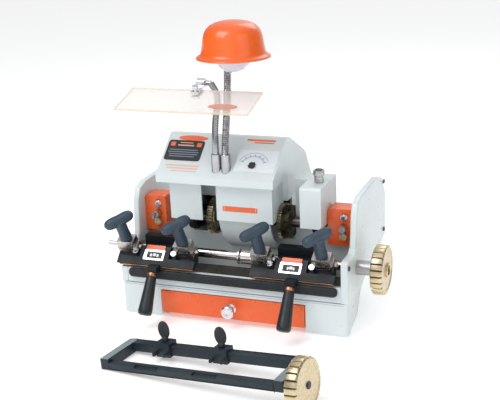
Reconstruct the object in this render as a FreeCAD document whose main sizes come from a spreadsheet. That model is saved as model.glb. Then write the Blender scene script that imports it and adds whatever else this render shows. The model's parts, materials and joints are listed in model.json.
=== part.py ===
import FreeCAD, Part
import Sketcher
import os
import re
from FreeCAD import Placement, Rotation, Vector

# Key duplicating machine: a painted bench casting with a chip drawer, a cutter spindle under a
# sloped hood, two rocking key carriages on one cross-slide shaft, a work lamp, a clear chip
# shield and the long-key clamp that lies in front of the machine.
# Millimetres. X runs right, Y runs back and Z runs up. The bench is Z = 0.
# Depths below are measured from the front face of the base; half_deep moves the origin from
# there to the middle of the base.

doc = FreeCAD.newDocument("KeyMachine")
sheet = doc.addObject("Spreadsheet::Sheet", "Dims")

DIMENSIONS = {
    # base and tray
    "half_wide": 200, "half_deep": 125, "body_deep": 250, "foot_tall": 3, "seam_z": 59.5,
    "rear_half": 150, "drawer_half": 128, "drawer_floor": 9.8, "drawer_top": 50,
    "drawer_deep": 205, "sill_deep": 22, "skin": 6, "tray_deep": 98,
    "tray_z": 65, "wall_z": 86, "bed_z": 127,
    "cheek_thick": 11, "cheek_top": 214, "arm_top": 129, "cheek_front": 54, "foot_radius": 12,
    "bumper_half": 184, "bumper_low": 71, "bumper_tall": 16, "bumper_deep": 8,
    # shaft, wheel and carriages
    "shaft_y": 59, "shaft_z": 101, "shaft_radius": 8, "fit": 0.04, "bush_radius": 12,
    "boss_reach": 229, "thread_radius": 6, "wheel_x": 230, "wheel_wide": 20, "wheel_radius": 41,
    "flute_count": 24, "flute_radius": 2.4,
    "left_x": -133, "right_x": 110, "rock": 29, "apron_half": 69, "apron_y": -65,
    "apron_z": -6, "apron_tilt": 45, "apron_low": 14, "apron_high": 36, "apron_thick": 9,
    "mid_left": -34, "mid_right": 20, "hub_half": 38, "hub_radius": 15,
    "clamp_left": -61, "clamp_right": 44, "jaw_y": -33, "jaw_z": 8.7, "jaw_wide": 34,
    "jaw_deep": 20, "jaw_low": 12, "jaw_gap": 0.3, "jaw_high": 14, "stud_radius": 4,
    "stem_radius": 10, "stem_tall": 36, "wing_wide": 52, "wing_thick": 18, "wing_tall": 20,
    "wing_yaw": 44, "grip_lean": 33, "grip_y": -75, "grip_z": -11, "grip_long": 76,
    "grip_top": 8, "grip_end": 12, "ferrule_tall": 6, "grip_stud": 4, "rod_radius": 4,
    # hood, guards and spindle
    "hood_left": -138, "hood_right": 70, "lip_y": 28, "lip_z": 232, "slope_y": 98,
    "slope_low": 244.5, "slope_high": 301, "hood_back": 242, "hood_skin": 4,
    "cover_left": -37, "cover_right": 62, "cover_y": 44, "cover_z": 167, "guard_y": 50,
    "guard_z": 163, "guard_skin": 3, "left_guard": -124, "left_guard_wide": 58,
    "right_guard": 107, "right_guard_wide": 36, "block_y": 82, "block_top": 190,
    "left_block_wide": 40, "right_block_wide": 45, "block_right": 188.9, "spindle_y": 88, "spindle_z": 160,
    "spindle_radius": 9, "cutter_radius": 31, "left_cutter": -58, "right_cutter": 67,
    "pulley_radius": 22, "pulley_wide": 14, "pulley_x": -95, "belt_thick": 3,
    "motor_y": 168, "motor_z": 182, "motor_radius": 44, "tracer_gap": 105, "lock_x": 129,
    "lock_radius": 7.7,
    # lamp and shield
    "lamp_x": 12, "lamp_y": 28, "rim_z": 445, "shade_radius": 59, "shade_tall": 58,
    "neck_x": -16, "neck_y": 44, "neck_radius": 6.5, "bulb_radius": 31, "bulb_z": 452,
    "post_x": -33, "post_y": 44, "post_radius": 5.5, "socket_radius": 8.2, "hinge_y": 61,
    "hinge_z": 396, "panel_wide": 230, "panel_deep": 74, "panel_thick": 4, "panel_tilt": 16,
    "panel_x": -63,
    # long-key clamp lying in front
    "frame_x": -134, "frame_y": -208, "frame_yaw": 8.5, "frame_tilt": 5.37, "frame_long": 318,
    "frame_deep": 80, "end_wide": 15, "rail_tall": 15, "rail_deep": 14, "frame_wheel": 40,
    "wheel_gap": 12, "slider_wide": 26, "first_slider": 61, "second_slider": 164,
}

for row, (alias, number) in enumerate(DIMENSIONS.items(), start=1):
    sheet.set("A%d" % row, alias)
    sheet.set("B%d" % row, str(number))
    sheet.setAlias("B%d" % row, alias)
doc.recompute()

sub_parts = []


def bound(expression):
    """The expression with each sheet alias in it written as a cell reference."""
    def reference(match):
        word = match.group(0)
        return "Dims." + word if word in DIMENSIONS else word
    return re.sub(r"[a-z][a-z_]*", reference, str(expression))


def value(expression):
    """The number that an expression gives with the sheet as it is."""
    answer = sheet.evalExpression(bound(expression))
    return float(getattr(answer, "Value", answer))


def place(thing, x=0, y=0, z=0, axis=(0, 0, 1), angle=0):
    """Put an object at sheet-bound coordinates, turned about an axis by a positive angle."""
    spot = Vector(value(x), value(y), value(z))
    thing.Placement = Placement(spot, Rotation(Vector(*axis), value(angle)))
    for letter, expression in zip("xyz", (x, y, z)):
        thing.setExpression("Placement.Base." + letter, bound(expression))
    if value(angle) > 0:
        thing.setExpression("Placement.Rotation.Angle", bound(angle))
    return thing


def sub_part(label, thing, x=0, y=0, z=0, axis=(0, 0, 1), angle=0):
    """Name a finished sub-part and place it; y counts from the front face of the base."""
    place(thing, x, "(%s) - half_deep" % y, z, axis, angle)
    thing.Label = label
    sub_parts.append(thing)
    return thing


def sized(kind, name, sizes):
    """A Part primitive with its sizes bound to the sheet."""
    thing = doc.addObject(kind, name)
    for size, expression in sizes.items():
        thing.setExpression(size, bound(expression))
    return thing


def block(name, corner, size):
    """A box from its lowest corner and its three sizes."""
    return place(sized("Part::Box", name, dict(zip(("Length", "Width", "Height"), size))), *corner)


def rod(name, direction, radius, length, foot):
    """A cylinder that starts at foot and runs along +X, +Y or +Z."""
    turns = {"x": ((0, 1, 0), 90), "y": ((-1, 0, 0), 90), "z": ((0, 0, 1), 0)}
    axis, angle = turns[direction]
    return place(sized("Part::Cylinder", name, {"Radius": radius, "Height": length}), *foot,
                 axis=axis, angle=angle)


def joined(name, *pieces):
    """One solid from pieces that meet."""
    whole = doc.addObject("Part::MultiFuse", name)
    whole.Shapes = list(pieces)
    whole.Refine = True
    return whole


def group(name, *pieces):
    """Separate solids that share a node."""
    whole = doc.addObject("Part::Compound", name)
    whole.Links = list(pieces)
    return whole


def cut(name, base, *tools):
    """The base with every tool taken away."""
    tool = tools[0] if len(tools) == 1 else joined(name + "Tools", *tools)
    whole = doc.addObject("Part::Cut", name)
    whole.Base = base
    whole.Tool = tool
    return whole


def rounded(name, base, radius, chosen):
    """The base with its chosen edges rounded."""
    doc.recompute()
    whole = doc.addObject("Part::Fillet", name)
    whole.Base = base
    size = value(radius)
    whole.Edges = [(number, size, size) for number, edge in enumerate(base.Shape.Edges, start=1)
                   if chosen(edge)]
    return whole


def along(direction, **place_near):
    """A test for straight edges along X, Y or Z that pass near the given coordinates."""
    axis = {"x": Vector(1, 0, 0), "y": Vector(0, 1, 0), "z": Vector(0, 0, 1)}[direction]
    near = {letter: value(expression) for letter, expression in place_near.items()}

    def test(edge):
        if edge.Curve.TypeId != "Part::GeomLine":
            return False
        middle = edge.valueAt((edge.FirstParameter + edge.LastParameter) / 2)
        close = all(abs(getattr(middle, letter) - spot) < 0.6 for letter, spot in near.items())
        return close and abs(edge.tangentAt(edge.FirstParameter).dot(axis)) > 0.999
    return test


def any_of(*tests):
    """A test that passes when one of its tests does."""
    return lambda edge: any(test(edge) for test in tests)


def outline(body, plane, offset, corners):
    """A closed sketch on one of the body's own planes, each corner bound to the sheet."""
    sketch = body.newObject("Sketcher::SketchObject", body.Name + "Outline")
    support = [item for item in body.Origin.OriginFeatures if item.Role == plane][0]
    sketch.AttachmentSupport = [(support, "")]
    sketch.MapMode = "FlatFace"
    sketch.setExpression("AttachmentOffset.Base.z", bound(offset))
    spots = [Vector(value(across), value(up), 0) for across, up in corners]
    count = len(spots)
    for number in range(count):
        sketch.addGeometry(Part.LineSegment(spots[number], spots[(number + 1) % count]))
    for number in range(count):
        following = (number + 1) % count
        sketch.addConstraint(Sketcher.Constraint("Coincident", number, 2, following, 1))
    for number, (across, up) in enumerate(corners):
        for kind, expression in (("DistanceX", across), ("DistanceY", up)):
            size = value(expression)
            index = sketch.addConstraint(Sketcher.Constraint(kind, -1, 1, number, 1, size))
            sketch.setExpression("Constraints[%d]" % index, bound(expression))
    return sketch


def profile_body(name, plane, offset, corners, length):
    """A body padded from an outline along the plane's own normal."""
    body = doc.addObject("PartDesign::Body", name)
    pad = body.newObject("PartDesign::Pad", name + "Pad")
    pad.Profile = outline(body, plane, offset, corners)
    pad.setExpression("Length", bound(length))
    doc.recompute()
    return body


def add_pad(body, plane, offset, corners, length):
    """One more pad on a body."""
    pad = body.newObject("PartDesign::Pad", body.Name + "Pad")
    pad.Profile = outline(body, plane, offset, corners)
    pad.setExpression("Length", bound(length))
    doc.recompute()


def add_pocket(body, plane, offset, corners, length):
    """A pocket cut along the plane's normal; it must take material away."""
    before = body.Shape.Volume
    pocket = body.newObject("PartDesign::Pocket", body.Name + "Pocket")
    pocket.Profile = outline(body, plane, offset, corners)
    pocket.Reversed = True
    pocket.setExpression("Length", bound(length))
    doc.recompute()
    if body.Shape.Volume > before - 1:
        raise RuntimeError(body.Name + ": a pocket cuts nothing")


def add_fillet(body, radius, chosen):
    """Round the chosen edges of a body."""
    base = body.Tip
    names = ["Edge%d" % number for number, edge in enumerate(base.Shape.Edges, start=1)
             if chosen(edge)]
    fillet = body.newObject("PartDesign::Fillet", body.Name + "Fillet")
    fillet.Base = (base, names)
    fillet.setExpression("Radius", bound(radius))
    doc.recompute()


def turned_body(name, corners):
    """A body of revolution about its own Z axis from (radius, height) corners."""
    body = doc.addObject("PartDesign::Body", name)
    revolution = body.newObject("PartDesign::Revolution", name + "Turn")
    sketch = outline(body, "XZ_Plane", 0, corners)
    revolution.Profile = sketch
    revolution.ReferenceAxis = (sketch, ["V_Axis"])
    revolution.Angle = 360
    doc.recompute()
    return body


def bent_post(name, radius, foot_z, points):
    """A round post: straight up from foot_z, then along a smooth route that leaves a plane."""
    spots = [Vector(*[value(item) for item in point]) for point in points]
    upward = Vector(0, 0, 1)
    route = Part.BSplineCurve()
    route.interpolate(spots, InitialTangent=upward, FinalTangent=spots[-1] - spots[-2])
    wire = Part.Wire([route.toShape()])
    circle = Part.Wire([Part.Circle(spots[0], upward, value(radius)).toShape()])
    bend = doc.addObject("Part::Feature", name + "Bend")
    bend.Shape = wire.makePipeShell([circle], True, False)
    x, y, z = points[0]
    foot = rod(name + "Foot", "z", radius, "%s - %s" % (z, foot_z), (x, y, foot_z))
    return joined(name, foot, bend)


def jointed_neck(name, radius, foot_z, points):
    """A flexible neck: a straight foot and short straight runs with a ball at each bend."""
    spots = [Vector(value(x), value(y), value(z)) for x, y, z in points]
    x, y, z = points[0]
    links = [rod(name + "Foot", "z", radius, "%s - %s" % (z, foot_z), (x, y, foot_z))]
    for start, end in zip(spots, spots[1:]):
        run = sized("Part::Cylinder", name + "Run", {"Radius": radius})
        run.Height = (end - start).Length
        run.Placement = Placement(start, Rotation(Vector(0, 0, 1), end - start))
        ball = sized("Part::Sphere", name + "Ball", {"Radius": radius})
        ball.Placement = Placement(start, Rotation())
        links += [run, ball]
    return joined(name, *links)


# ---- base ------------------------------------------------------------------------------------

def make_base():
    """Lower casting: full width in front, narrower behind, hollow, open in front for the drawer."""
    front = [(0, "foot_tall"), (12, "foot_tall"), (59, 20), (79, 50), (88, "seam_z"),
             (0, "seam_z")]
    rear = [(10, "foot_tall"), (235, "foot_tall"), (235, 92), (194, 76.9), (112, 67.9),
            (90, "seam_z"), (10, "seam_z")]
    hollow = [("skin + 2", "drawer_floor"), (228, "drawer_floor"), (228, 83), (194, 70),
              (112, 61), (90, "seam_z - skin"), ("skin + 2", "seam_z - skin")]
    mouth = [("-drawer_half", "-1"), ("drawer_half", "-1"), ("drawer_half", "drawer_deep"),
             ("-drawer_half", "drawer_deep")]
    body = profile_body("Base", "YZ_Plane", "-half_wide", front, "2 * half_wide")
    add_pad(body, "YZ_Plane", "-rear_half", rear, "2 * rear_half")
    add_pocket(body, "YZ_Plane", "-drawer_half - 14", hollow, "2 * drawer_half + 28")
    add_pocket(body, "XY_Plane", "drawer_floor", mouth, "drawer_top - drawer_floor")
    sill = [("-drawer_half", "-1"), ("drawer_half", "-1"), ("drawer_half", "sill_deep"),
            ("-drawer_half", "sill_deep")]
    add_pocket(body, "XY_Plane", 0, sill, "drawer_floor + 1")
    add_fillet(body, 5, any_of(along("z", y=0, x="half_wide"), along("z", y=0, x="-half_wide")))
    sub_part("base_shell", body)
    plate = block("BottomPlate", (0, 0, 0), (220, 190, 1.5))
    sub_part("bottom_plate", plate, -110, 30, "foot_tall - 1.5")
    feet = [rod("Foot", "z", "foot_radius", "foot_tall", (x, y, 0))
            for x in (-130, 130) for y in (30, 215)]
    sub_part("rubber_feet", group("Feet", *feet))


def make_tray():
    """Upper casting: front wall, chip tray and the hollow bed that carries the hood."""
    side = [(0, "seam_z"), (0, "wall_z"), (8, "wall_z"), (8, "tray_z"), ("tray_deep", "tray_z"),
            ("tray_deep", "bed_z"), (245, "bed_z"), (245, 96), (194, 77), (112, 68),
            (90, "seam_z")]
    hollow = [("tray_deep + skin", 50), ("tray_deep + skin", "bed_z - skin"),
              (239, "bed_z - skin"), (239, 50)]
    body = profile_body("Tray", "YZ_Plane", "cheek_thick - half_wide + 0.1", side,
                        "2 * (half_wide - cheek_thick - 0.1)")
    add_pocket(body, "YZ_Plane", "-180", hollow, 360)
    sub_part("tray_casting", body)


def make_cheek(side, label, low_front):
    """One end wall of the casting, bored for the shaft bush."""
    corners = [(0, "seam_z")] + low_front + [
        ("cheek_front + 2", 160), ("cheek_front + 5", 188), ("cheek_front + 14", "cheek_top - 8"),
        ("cheek_front + 36", "cheek_top"), (190, "cheek_top + 2"), (228, "cheek_top - 8"),
        ("body_deep", 176), ("body_deep", 97), (194, 77), (112, 68), (90, "seam_z")]
    start = "-half_wide" if side < 0 else "half_wide - cheek_thick"
    wall = profile_body(label + "_wall", "YZ_Plane", start, corners, "cheek_thick")
    outside = "%d * half_wide" % side
    inside = "%d * (half_wide - cheek_thick)" % side

    def long_edge(edge):
        middle = edge.valueAt((edge.FirstParameter + edge.LastParameter) / 2)
        ends = (abs(middle.x - value(outside)) < 0.1, abs(middle.x - value(inside)) < 0.1)
        return any(ends) and middle.z > 92 and middle.y < 249 and middle.y > 46
    add_fillet(wall, 3, long_edge)
    bore = rod("BushBore", "x", "bush_radius", "cheek_thick + 2",
               (start + " - 1", "shaft_y", "shaft_z"))
    sub_part(label, cut(label + "Bored", wall, bore))


def make_cheeks():
    """Left wall is cut low in front so the carriage can pass; the right one keeps its arm."""
    left = [(0, "wall_z"), (44.5, "wall_z"), (44.5, 112), (47, 118),
            ("cheek_front", 130)]
    right = [(0, "arm_top - 3"), (4, "arm_top"), (42, "arm_top"), ("cheek_front - 4", 134)]
    make_cheek(-1, "left_cheek", left)
    make_cheek(1, "right_cheek", right)


def make_bumper():
    """Rubber-faced bar on the front wall that the carriages rest on."""
    bar = block("Bumper", ("-bumper_half", "-bumper_deep", "bumper_low"),
                ("2 * bumper_half", "bumper_deep", "bumper_tall"))
    ends = any_of(*[along("y", x=x, z=z) for x in ("-bumper_half", "bumper_half")
                    for z in ("bumper_low", "bumper_low + bumper_tall")])
    sub_part("bumper_bar", rounded("BumperRounded", bar, 7, ends))


# ---- hood, guards and fixed pieces -----------------------------------------------------------

def make_hood():
    """Sloped hollow cover over the motor and belt, with the lamp and shield sockets in it."""
    outer = [("lip_y", "lip_z"), ("lip_y", "slope_low"), ("slope_y", "slope_high"), (116, 299),
             (200, 254), (238, 196), ("hood_back", "bed_z"), ("tray_deep", "bed_z"),
             ("tray_deep", "lip_z")]
    inner = [("lip_y + 5", "lip_z + hood_skin"), ("lip_y + 5", "slope_low - 1"),
             ("slope_y + 2", "slope_high - 5"), (114, 294.5), (197, 250), (234, 194),
             ("hood_back - 4", 120), ("tray_deep + 4", 120), ("tray_deep + 4", "lip_z + 4")]
    body = profile_body("Hood", "YZ_Plane", "hood_left", outer, "hood_right - hood_left")
    add_fillet(body, 40, any_of(along("x", y=200, z=254), along("x", y=116, z=299)))
    add_fillet(body, 9, along("x", y="slope_y", z="slope_high"))
    add_pocket(body, "YZ_Plane", "hood_left + hood_skin", inner,
               "hood_right - hood_left - 2 * hood_skin")
    slot_low = "spindle_z - cutter_radius - 1.5"
    slot_tall = "2 * cutter_radius + 3"
    tools = [block("LeftSlot", ("pulley_x - 10", 96, slot_low),
                   ("left_cutter - pulley_x + 18", 8, slot_tall)),
             block("RightSlot", ("right_cutter - 6", 96, slot_low),
                   (20, "spindle_y + cutter_radius - 94", slot_tall)),
             rod("NeckHole", "z", "socket_radius", 60, ("neck_x", "neck_y", 238)),
             rod("PostHole", "z", "socket_radius", 60, ("post_x", "post_y", 238))]
    sub_part("hood", cut("HoodCut", body, *tools))


def post_sockets():
    """The two chrome sockets that hold the lamp neck and the shield post."""
    cups = []
    for x, y, bore in (("neck_x", "neck_y", "neck_radius"), ("post_x", "post_y", "post_radius")):
        cup = rod("Socket", "z", "socket_radius", 44, (x, y, 238))
        hole = rod("SocketBore", "z", bore + " + fit", 42, (x, y, 241))
        cups.append(cut("SocketCup", cup, hole))
    return cups


def make_covers():
    """Front cover between the cutters and the two cutter guards, open behind."""
    wide = "cover_right - cover_left"
    cover = block("Cover", ("cover_left", "cover_y", "cover_z"),
                  (wide, "tray_deep - cover_y", "lip_z - cover_z"))
    room = block("CoverRoom", ("cover_left + 4", "cover_y + 4", "cover_z - 1"),
                 (wide + " - 8", 60, "lip_z - cover_z - 3"))
    passage = block("SpindlePassage", ("cover_left - 1", "spindle_y - 12", "cover_z - 1"),
                    (wide + " + 2", 30, 5))
    deflector = profile_body("ChipDeflector", "YZ_Plane", "cover_left",
                             [(50, 168), (56, 150), (66, 132), (82, 116), ("tray_deep", 104),
                              ("tray_deep", 108), (84, 120), (69, 135), (59, 152), (54, 168)],
                             wide + " - 8")
    shell = cut("CentreCover", cover, room, passage)
    sub_part("centre_cover", group("CoverAndDeflector", joined("CoverWhole", shell, deflector)))
    post = block("GuardPost", ("right_cutter + 17", "tray_deep", "bed_z"),
                 ("right_guard + right_guard_wide - right_cutter - 17", 42, "lip_z - bed_z"))
    recess = block("CollarRecess", ("lock_x - 12", "tray_deep - 1", "spindle_z - 19"),
                   (24, 11, 38))
    shells = [cut("GuardPostCut", post, recess)]
    guards = (("left_guard", "left_guard_wide", "left_guard + guard_skin", "left_guard_wide"),
              ("right_guard", "right_guard_wide", "right_guard - 1",
               "right_guard_wide - guard_skin + 1"))
    for label, across, start, room_wide in guards:
        shell = block("Guard", (label, "guard_y", "guard_z"),
                      (across, "tray_deep - guard_y", "lip_z - guard_z"))
        front = any_of(along("x", y="guard_y", z="lip_z"))
        shell = rounded("GuardRounded", shell, 6, front)
        room = block("GuardRoom", (start, "guard_y + guard_skin", "guard_z - 1"),
                     (room_wide, 60, "lip_z - guard_z - guard_skin + 1"))
        tools = [room]
        if label == "right_guard":
            tools.append(rod("LockHole", "z", "lock_radius + fit", 20,
                             ("lock_x", "spindle_y", "lip_z - 10")))
        shells.append(cut("GuardShell", shell, *tools))
    sub_part("cutter_guards", group("Guards", *shells))


def tracer_block(x, wide, tracer_x):
    """Painted block that holds a tracer, with a slot for its clamp screw."""
    plain = block("TracerBlock", (x, "block_y", "bed_z"),
                  (wide, 36, "block_top - bed_z"))
    tops = any_of(*[along("y", x=spot, z="block_top") for spot in (x, x + " + " + wide)])
    soft = rounded("TracerBlockRounded", plain, 6, tops)
    slot = block("TracerSlot", (tracer_x + " - 3.6", "block_y - 1", "spindle_z + 9"),
                 (7.2, 9, 14))
    bore = rod("TracerBore", "y", 6.05, 26, (tracer_x, "block_y - 1", "spindle_z"))
    screw_bore = rod("AdjustBore", "y", 3.1, 20, (tracer_x, "block_y - 1", "spindle_z - 15"))
    return cut("TracerBlockCut", soft, slot, bore, screw_bore)


def make_tracer(side, tracer_x):
    """Sliding tracer with a flat tip, its clamp screw and its thumb adjuster."""
    barrel = rod("TracerBarrel", "y", 6, 34, (tracer_x, 66, "spindle_z"))
    tip = block("TracerTip", (tracer_x + " - 1.5", 57, "spindle_z - 5"), (3, 10, 10))
    sub_part("tracer_" + side, joined("Tracer", barrel, tip))
    pin = rod("AdjusterPin", "y", 3, 18, (tracer_x, "block_y - 2", "spindle_z - 15"))
    thumb = rod("AdjusterThumb", "y", 7, 8, (tracer_x, "block_y - 9", "spindle_z - 15"))
    sub_part("adjuster_" + side, joined("Adjuster", pin, thumb))
    washer = rod("ClampWasher", "y", 6, 1.5, (tracer_x, "block_y - 1.5", "spindle_z + 16"))
    head = rod("ClampHead", "y", 4, 5, (tracer_x, "block_y - 6.5", "spindle_z + 16"))
    shank = rod("ClampShank", "y", 3.5, 8, (tracer_x, "block_y - 1", "spindle_z + 16"))
    return joined("ClampScrew", washer, head, shank)


def make_tracers():
    """Tracer blocks stand one tracer gap to the outside of each cutter."""
    places = (("left", "-block_right", "left_block_wide", "left_cutter - tracer_gap"),
              ("right", "block_right - right_block_wide", "right_block_wide",
               "right_cutter + tracer_gap"))
    blocks, screws = [], []
    for side, x, wide, tracer_x in places:
        blocks.append(tracer_block(x, wide, tracer_x))
        screws.append(make_tracer(side, tracer_x))
    sub_part("tracer_blocks", group("TracerBlocks", *blocks))
    sub_part("tracer_clamp_screws", group("ClampScrews", *screws))


def make_bearings():
    """The two spindle bearing blocks on the front face of the bed, behind the centre cover."""
    blocks = []
    for x in (-32, 20):
        pedestal = block("Pedestal", (x, "spindle_y - 18", 140), (24, 28, 34))
        bore = rod("BearingBore", "x", "spindle_radius + fit", 30,
                   ("%d - 3" % x, "spindle_y", "spindle_z"))
        blocks.append(cut("BearingBlock", pedestal, bore))
    sub_part("spindle_bearings", group("Bearings", *blocks))


def make_spindle():
    """Cutter spindle with its two cutters, its pulley and the lock collar."""
    reach = "lock_x + 9"
    bar = rod("SpindleBar", "x", "spindle_radius", reach + " + 106",
              (-106, "spindle_y", "spindle_z"))
    notch = block("LockFlat", ("lock_x - 5", "spindle_y - 5", "spindle_z + 14"), (10, 10, 9))
    collar = rod("LockCollar", "x", 17, 18, ("lock_x - 9", "spindle_y", "spindle_z"))
    wheel = rod("SpindlePulley", "x", "pulley_radius", "pulley_wide",
                ("pulley_x - pulley_wide / 2", "spindle_y", "spindle_z"))
    whole = joined("SpindleWhole", bar, collar, wheel)
    sub_part("spindle_shaft", cut("SpindleShaft", whole, notch))
    cutters = []
    for side, x, thick in (("left", "left_cutter", 10), ("right", "right_cutter", 6)):
        disc = rod("CutterDisc", "x", "cutter_radius", thick,
                   (x + " - %d / 2" % thick, "spindle_y", "spindle_z"))
        if side == "right":
            nut = rod("BrushWheel", "x", 29, 13, (x + " + 3", "spindle_y", "spindle_z"))
        else:
            nut = rod("CutterNut", "x", 15, 10, (x + " - 15", "spindle_y", "spindle_z"))
        bore = rod("CutterBore", "x", "spindle_radius", 60,
                   (x + " - 30", "spindle_y", "spindle_z"))
        cutters.append(cut("Cutter", joined("CutterBlank", disc, nut), bore))
    sub_part("cutters", group("Cutters", *cutters))


def make_motor():
    """Motor on the bed inside the hood, with its rotor shaft, pulley and belt."""
    can = rod("MotorCan", "x", "motor_radius", 96, (-36, "motor_y", "motor_z"))
    base = block("MotorFoot", (-30, "motor_y - 36", "bed_z"), (84, 72, 16))
    bore = rod("MotorBore", "x", 7.1, 60, (-40, "motor_y", "motor_z"))
    sub_part("motor", cut("MotorBody", joined("MotorWhole", can, base), bore))
    shaft = rod("RotorShaft", "x", 7, 110, ("pulley_x - 9", "motor_y", "motor_z"))
    pulley = rod("RotorPulley", "x", "pulley_radius", "pulley_wide",
                 ("pulley_x - pulley_wide / 2", "motor_y", "motor_z"))
    sub_part("motor_rotor", joined("Rotor", shaft, pulley))
    span = "sqrt((motor_y - spindle_y)^2 + (motor_z - spindle_z)^2)"
    lean = "atan((motor_z - spindle_z) / (motor_y - spindle_y))"
    rings = []
    for grow in (0.15, value("belt_thick")):
        radius = "pulley_radius + %s" % grow
        near = rod("BeltEnd", "x", radius, 10, (-5, 0, 0))
        far = rod("BeltEnd", "x", radius, 10, (-5, span, 0))
        run = block("BeltRun", (-5, 0, "-(%s)" % radius), (10, span, "2 * (%s)" % radius))
        rings.append(joined("BeltRing", near, far, run))
    belt = cut("Belt", rings[1], rings[0])
    sub_part("drive_belt", belt, "pulley_x", "spindle_y", "spindle_z", axis=(1, 0, 0), angle=lean)


def make_lock():
    """Spindle-lock plunger through the right guard."""
    pin = rod("LockPin", "z", "lock_radius", 46, ("lock_x", "spindle_y", 200))
    nose = rod("LockNose", "z", 4.6, 16, ("lock_x", "spindle_y", 185))
    cap = rod("LockCap", "z", 9.5, 8, ("lock_x", "spindle_y", 245))
    sub_part("lock_plunger", joined("Plunger", pin, nose, cap))


def slope_frame(x, along_slope, above):
    """Coordinates of a point on the hood slope, by its distance up the slope and above it."""
    angle = "atan((slope_high - slope_low) / (slope_y - lip_y))"
    y = "lip_y + cos(%s) * (%s) - sin(%s) * (%s)" % (angle, along_slope, angle, above)
    z = "slope_low + sin(%s) * (%s) + cos(%s) * (%s)" % (angle, along_slope, angle, above)
    return x, y, z, angle


def make_gauge():
    """Scale plate with a turning selector knob on the slope."""
    plate = block("GaugePlate", (0, 0, 0), (70, 44, 1.2))
    hole = rod("GaugeHole", "z", 3.1, 4, (31, 11, -1))
    x, y, z, angle = slope_frame(-3, 17, 0)
    sub_part("gauge_plate", cut("GaugePlateBored", plate, hole), x, y, z, (1, 0, 0), angle)
    knob = joined("DialKnobWhole", rod("DialKnob", "z", 8.5, 9, (0, 0, 0.3)),
                  rod("DialPin", "z", 3, 1.4, (0, 0, -1)))
    x, y, z, angle = slope_frame(28, 28, 1.2)
    sub_part("dial_knob", knob, x, y, z, (1, 0, 0), angle)


def make_power():
    """Mains inlet and rocker switch on the back of the bed."""
    frame = block("InletBody", (40, 245, 98), (50, 9, 27))
    recess = block("InletRecess", (46, 248, 103), (38, 8, 17))
    pins = [block("InletPin", (x, 247.5, 110), (2, 5, 4)) for x in (54, 64, 74)]
    inlet = joined("Inlet", cut("InletShell", frame, recess), *pins)
    bezel = block("SwitchBezel", (-4, 245, 98), (32, 7, 27))
    window = block("SwitchWindow", (1, 246, 102), (22, 8, 19))
    sub_part("power_panel", group("PowerPanel", inlet, cut("SwitchFrame", bezel, window)))
    rocker = block("RockerPlate", (0, 0, 0), (20, 6.4, 16))
    sub_part("power_rocker", rocker, 2, 247.6, 103.5)


# ---- lamp and shield -------------------------------------------------------------------------

def make_lamp():
    """Lamp on a flexible neck: neck, lampholder, bulb and shade."""
    points = [("neck_x", "neck_y", 292), ("neck_x + 1", "neck_y + 16", 370),
              ("neck_x + 3", "neck_y + 20", 430), ("neck_x + 9", "neck_y + 14", 466),
              ("neck_x + 13", "neck_y + 9", 482), ("lamp_x - 5", "lamp_y + 9", 492)]
    neck = jointed_neck("NeckBar", "neck_radius", 241, points)
    holder_shape = rod("HolderTool", "z", 17, 22, ("lamp_x", "lamp_y", 478.5))
    globe_room = sized("Part::Sphere", "GlobeRoom", {"Radius": "bulb_radius + 2"})
    place(globe_room, "lamp_x", "lamp_y", "bulb_z")
    stem = cut("LampNeck", neck, holder_shape, globe_room)
    holder = rod("Holder", "z", 17, 18.9, ("lamp_x", "lamp_y", 481))
    cup = rod("HolderBore", "z", 13.1, 10.5, ("lamp_x", "lamp_y", 480.5))
    sub_part("lamp_stem", group("LampStem", stem, cut("LampHolder", holder, cup)))
    globe = sized("Part::Sphere", "Globe", {"Radius": "bulb_radius"})
    place(globe, "lamp_x", "lamp_y", "bulb_z")
    cap = rod("BulbCap", "z", 13, "490 - bulb_z", ("lamp_x", "lamp_y", "bulb_z"))
    sub_part("lamp_bulb", joined("Bulb", globe, cap))
    outer = [("shade_radius", 0), ("shade_radius", 2.4), (52.5, 5), (50, 9), (46.5, 38),
             (40, 50), (27, 56.5), (0, "shade_tall")]
    inner = [(0, "shade_tall - 2"), (26.4, 54.6), (38.6, 48.6), (44.6, 37.4), (48, 8.6), (51.4, 0)]
    shade = turned_body("Shade", outer + inner)
    sub_part("lamp_shade", shade, "lamp_x", "lamp_y", "rim_z")


def make_shield():
    """Bent shield post with its hinge pin, the clamp on the pin and the clear panel."""
    points = [("post_x", "post_y", 290), ("post_x - 1", "post_y + 12", 345),
              ("post_x - 2", "hinge_y", "hinge_z - 14"), ("post_x - 10", "hinge_y", "hinge_z")]
    bar = bent_post("PostBar", "post_radius", 241, points)
    pin = rod("PostPin", "x", 4, 26, (-68, "hinge_y", "hinge_z"))
    sub_part("shield_post", group("Posts", joined("ShieldPost", bar, pin), *post_sockets()))
    barrel = rod("ClampBarrel", "x", 7.5, 14, (-66, 0, 0))
    upper = block("ClampUpper", (-66, -34, -4), (14, 34, 4))
    lower = block("ClampLower", (-66, -34, "-8.2 - panel_thick"), (14, 24, 4))
    back = block("ClampBack", (-66, -15.8, "-8.2 - panel_thick"), (14, 5.8, "8.2 + panel_thick"))
    screw = rod("ClampKnob", "z", 5, 8, (-59, -26, 0))
    bore = rod("ClampBore", "x", "4 + fit", 30, (-70, 0, 0))
    clamp = cut("ShieldClamp", joined("ClampWhole", barrel, upper, lower, back, screw), bore)
    sub_part("shield_clamp", clamp, 0, "hinge_y", "hinge_z", (1, 0, 0), "panel_tilt")
    panel = block("Panel", ("panel_x - panel_wide / 2", "-16 - panel_deep",
                            "-4.1 - panel_thick"), ("panel_wide", "panel_deep", "panel_thick"))
    sub_part("shield_panel", group("ClearPanel", panel), 0, "hinge_y", "hinge_z", (1, 0, 0),
             "panel_tilt")


# ---- drawer ----------------------------------------------------------------------------------

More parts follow.
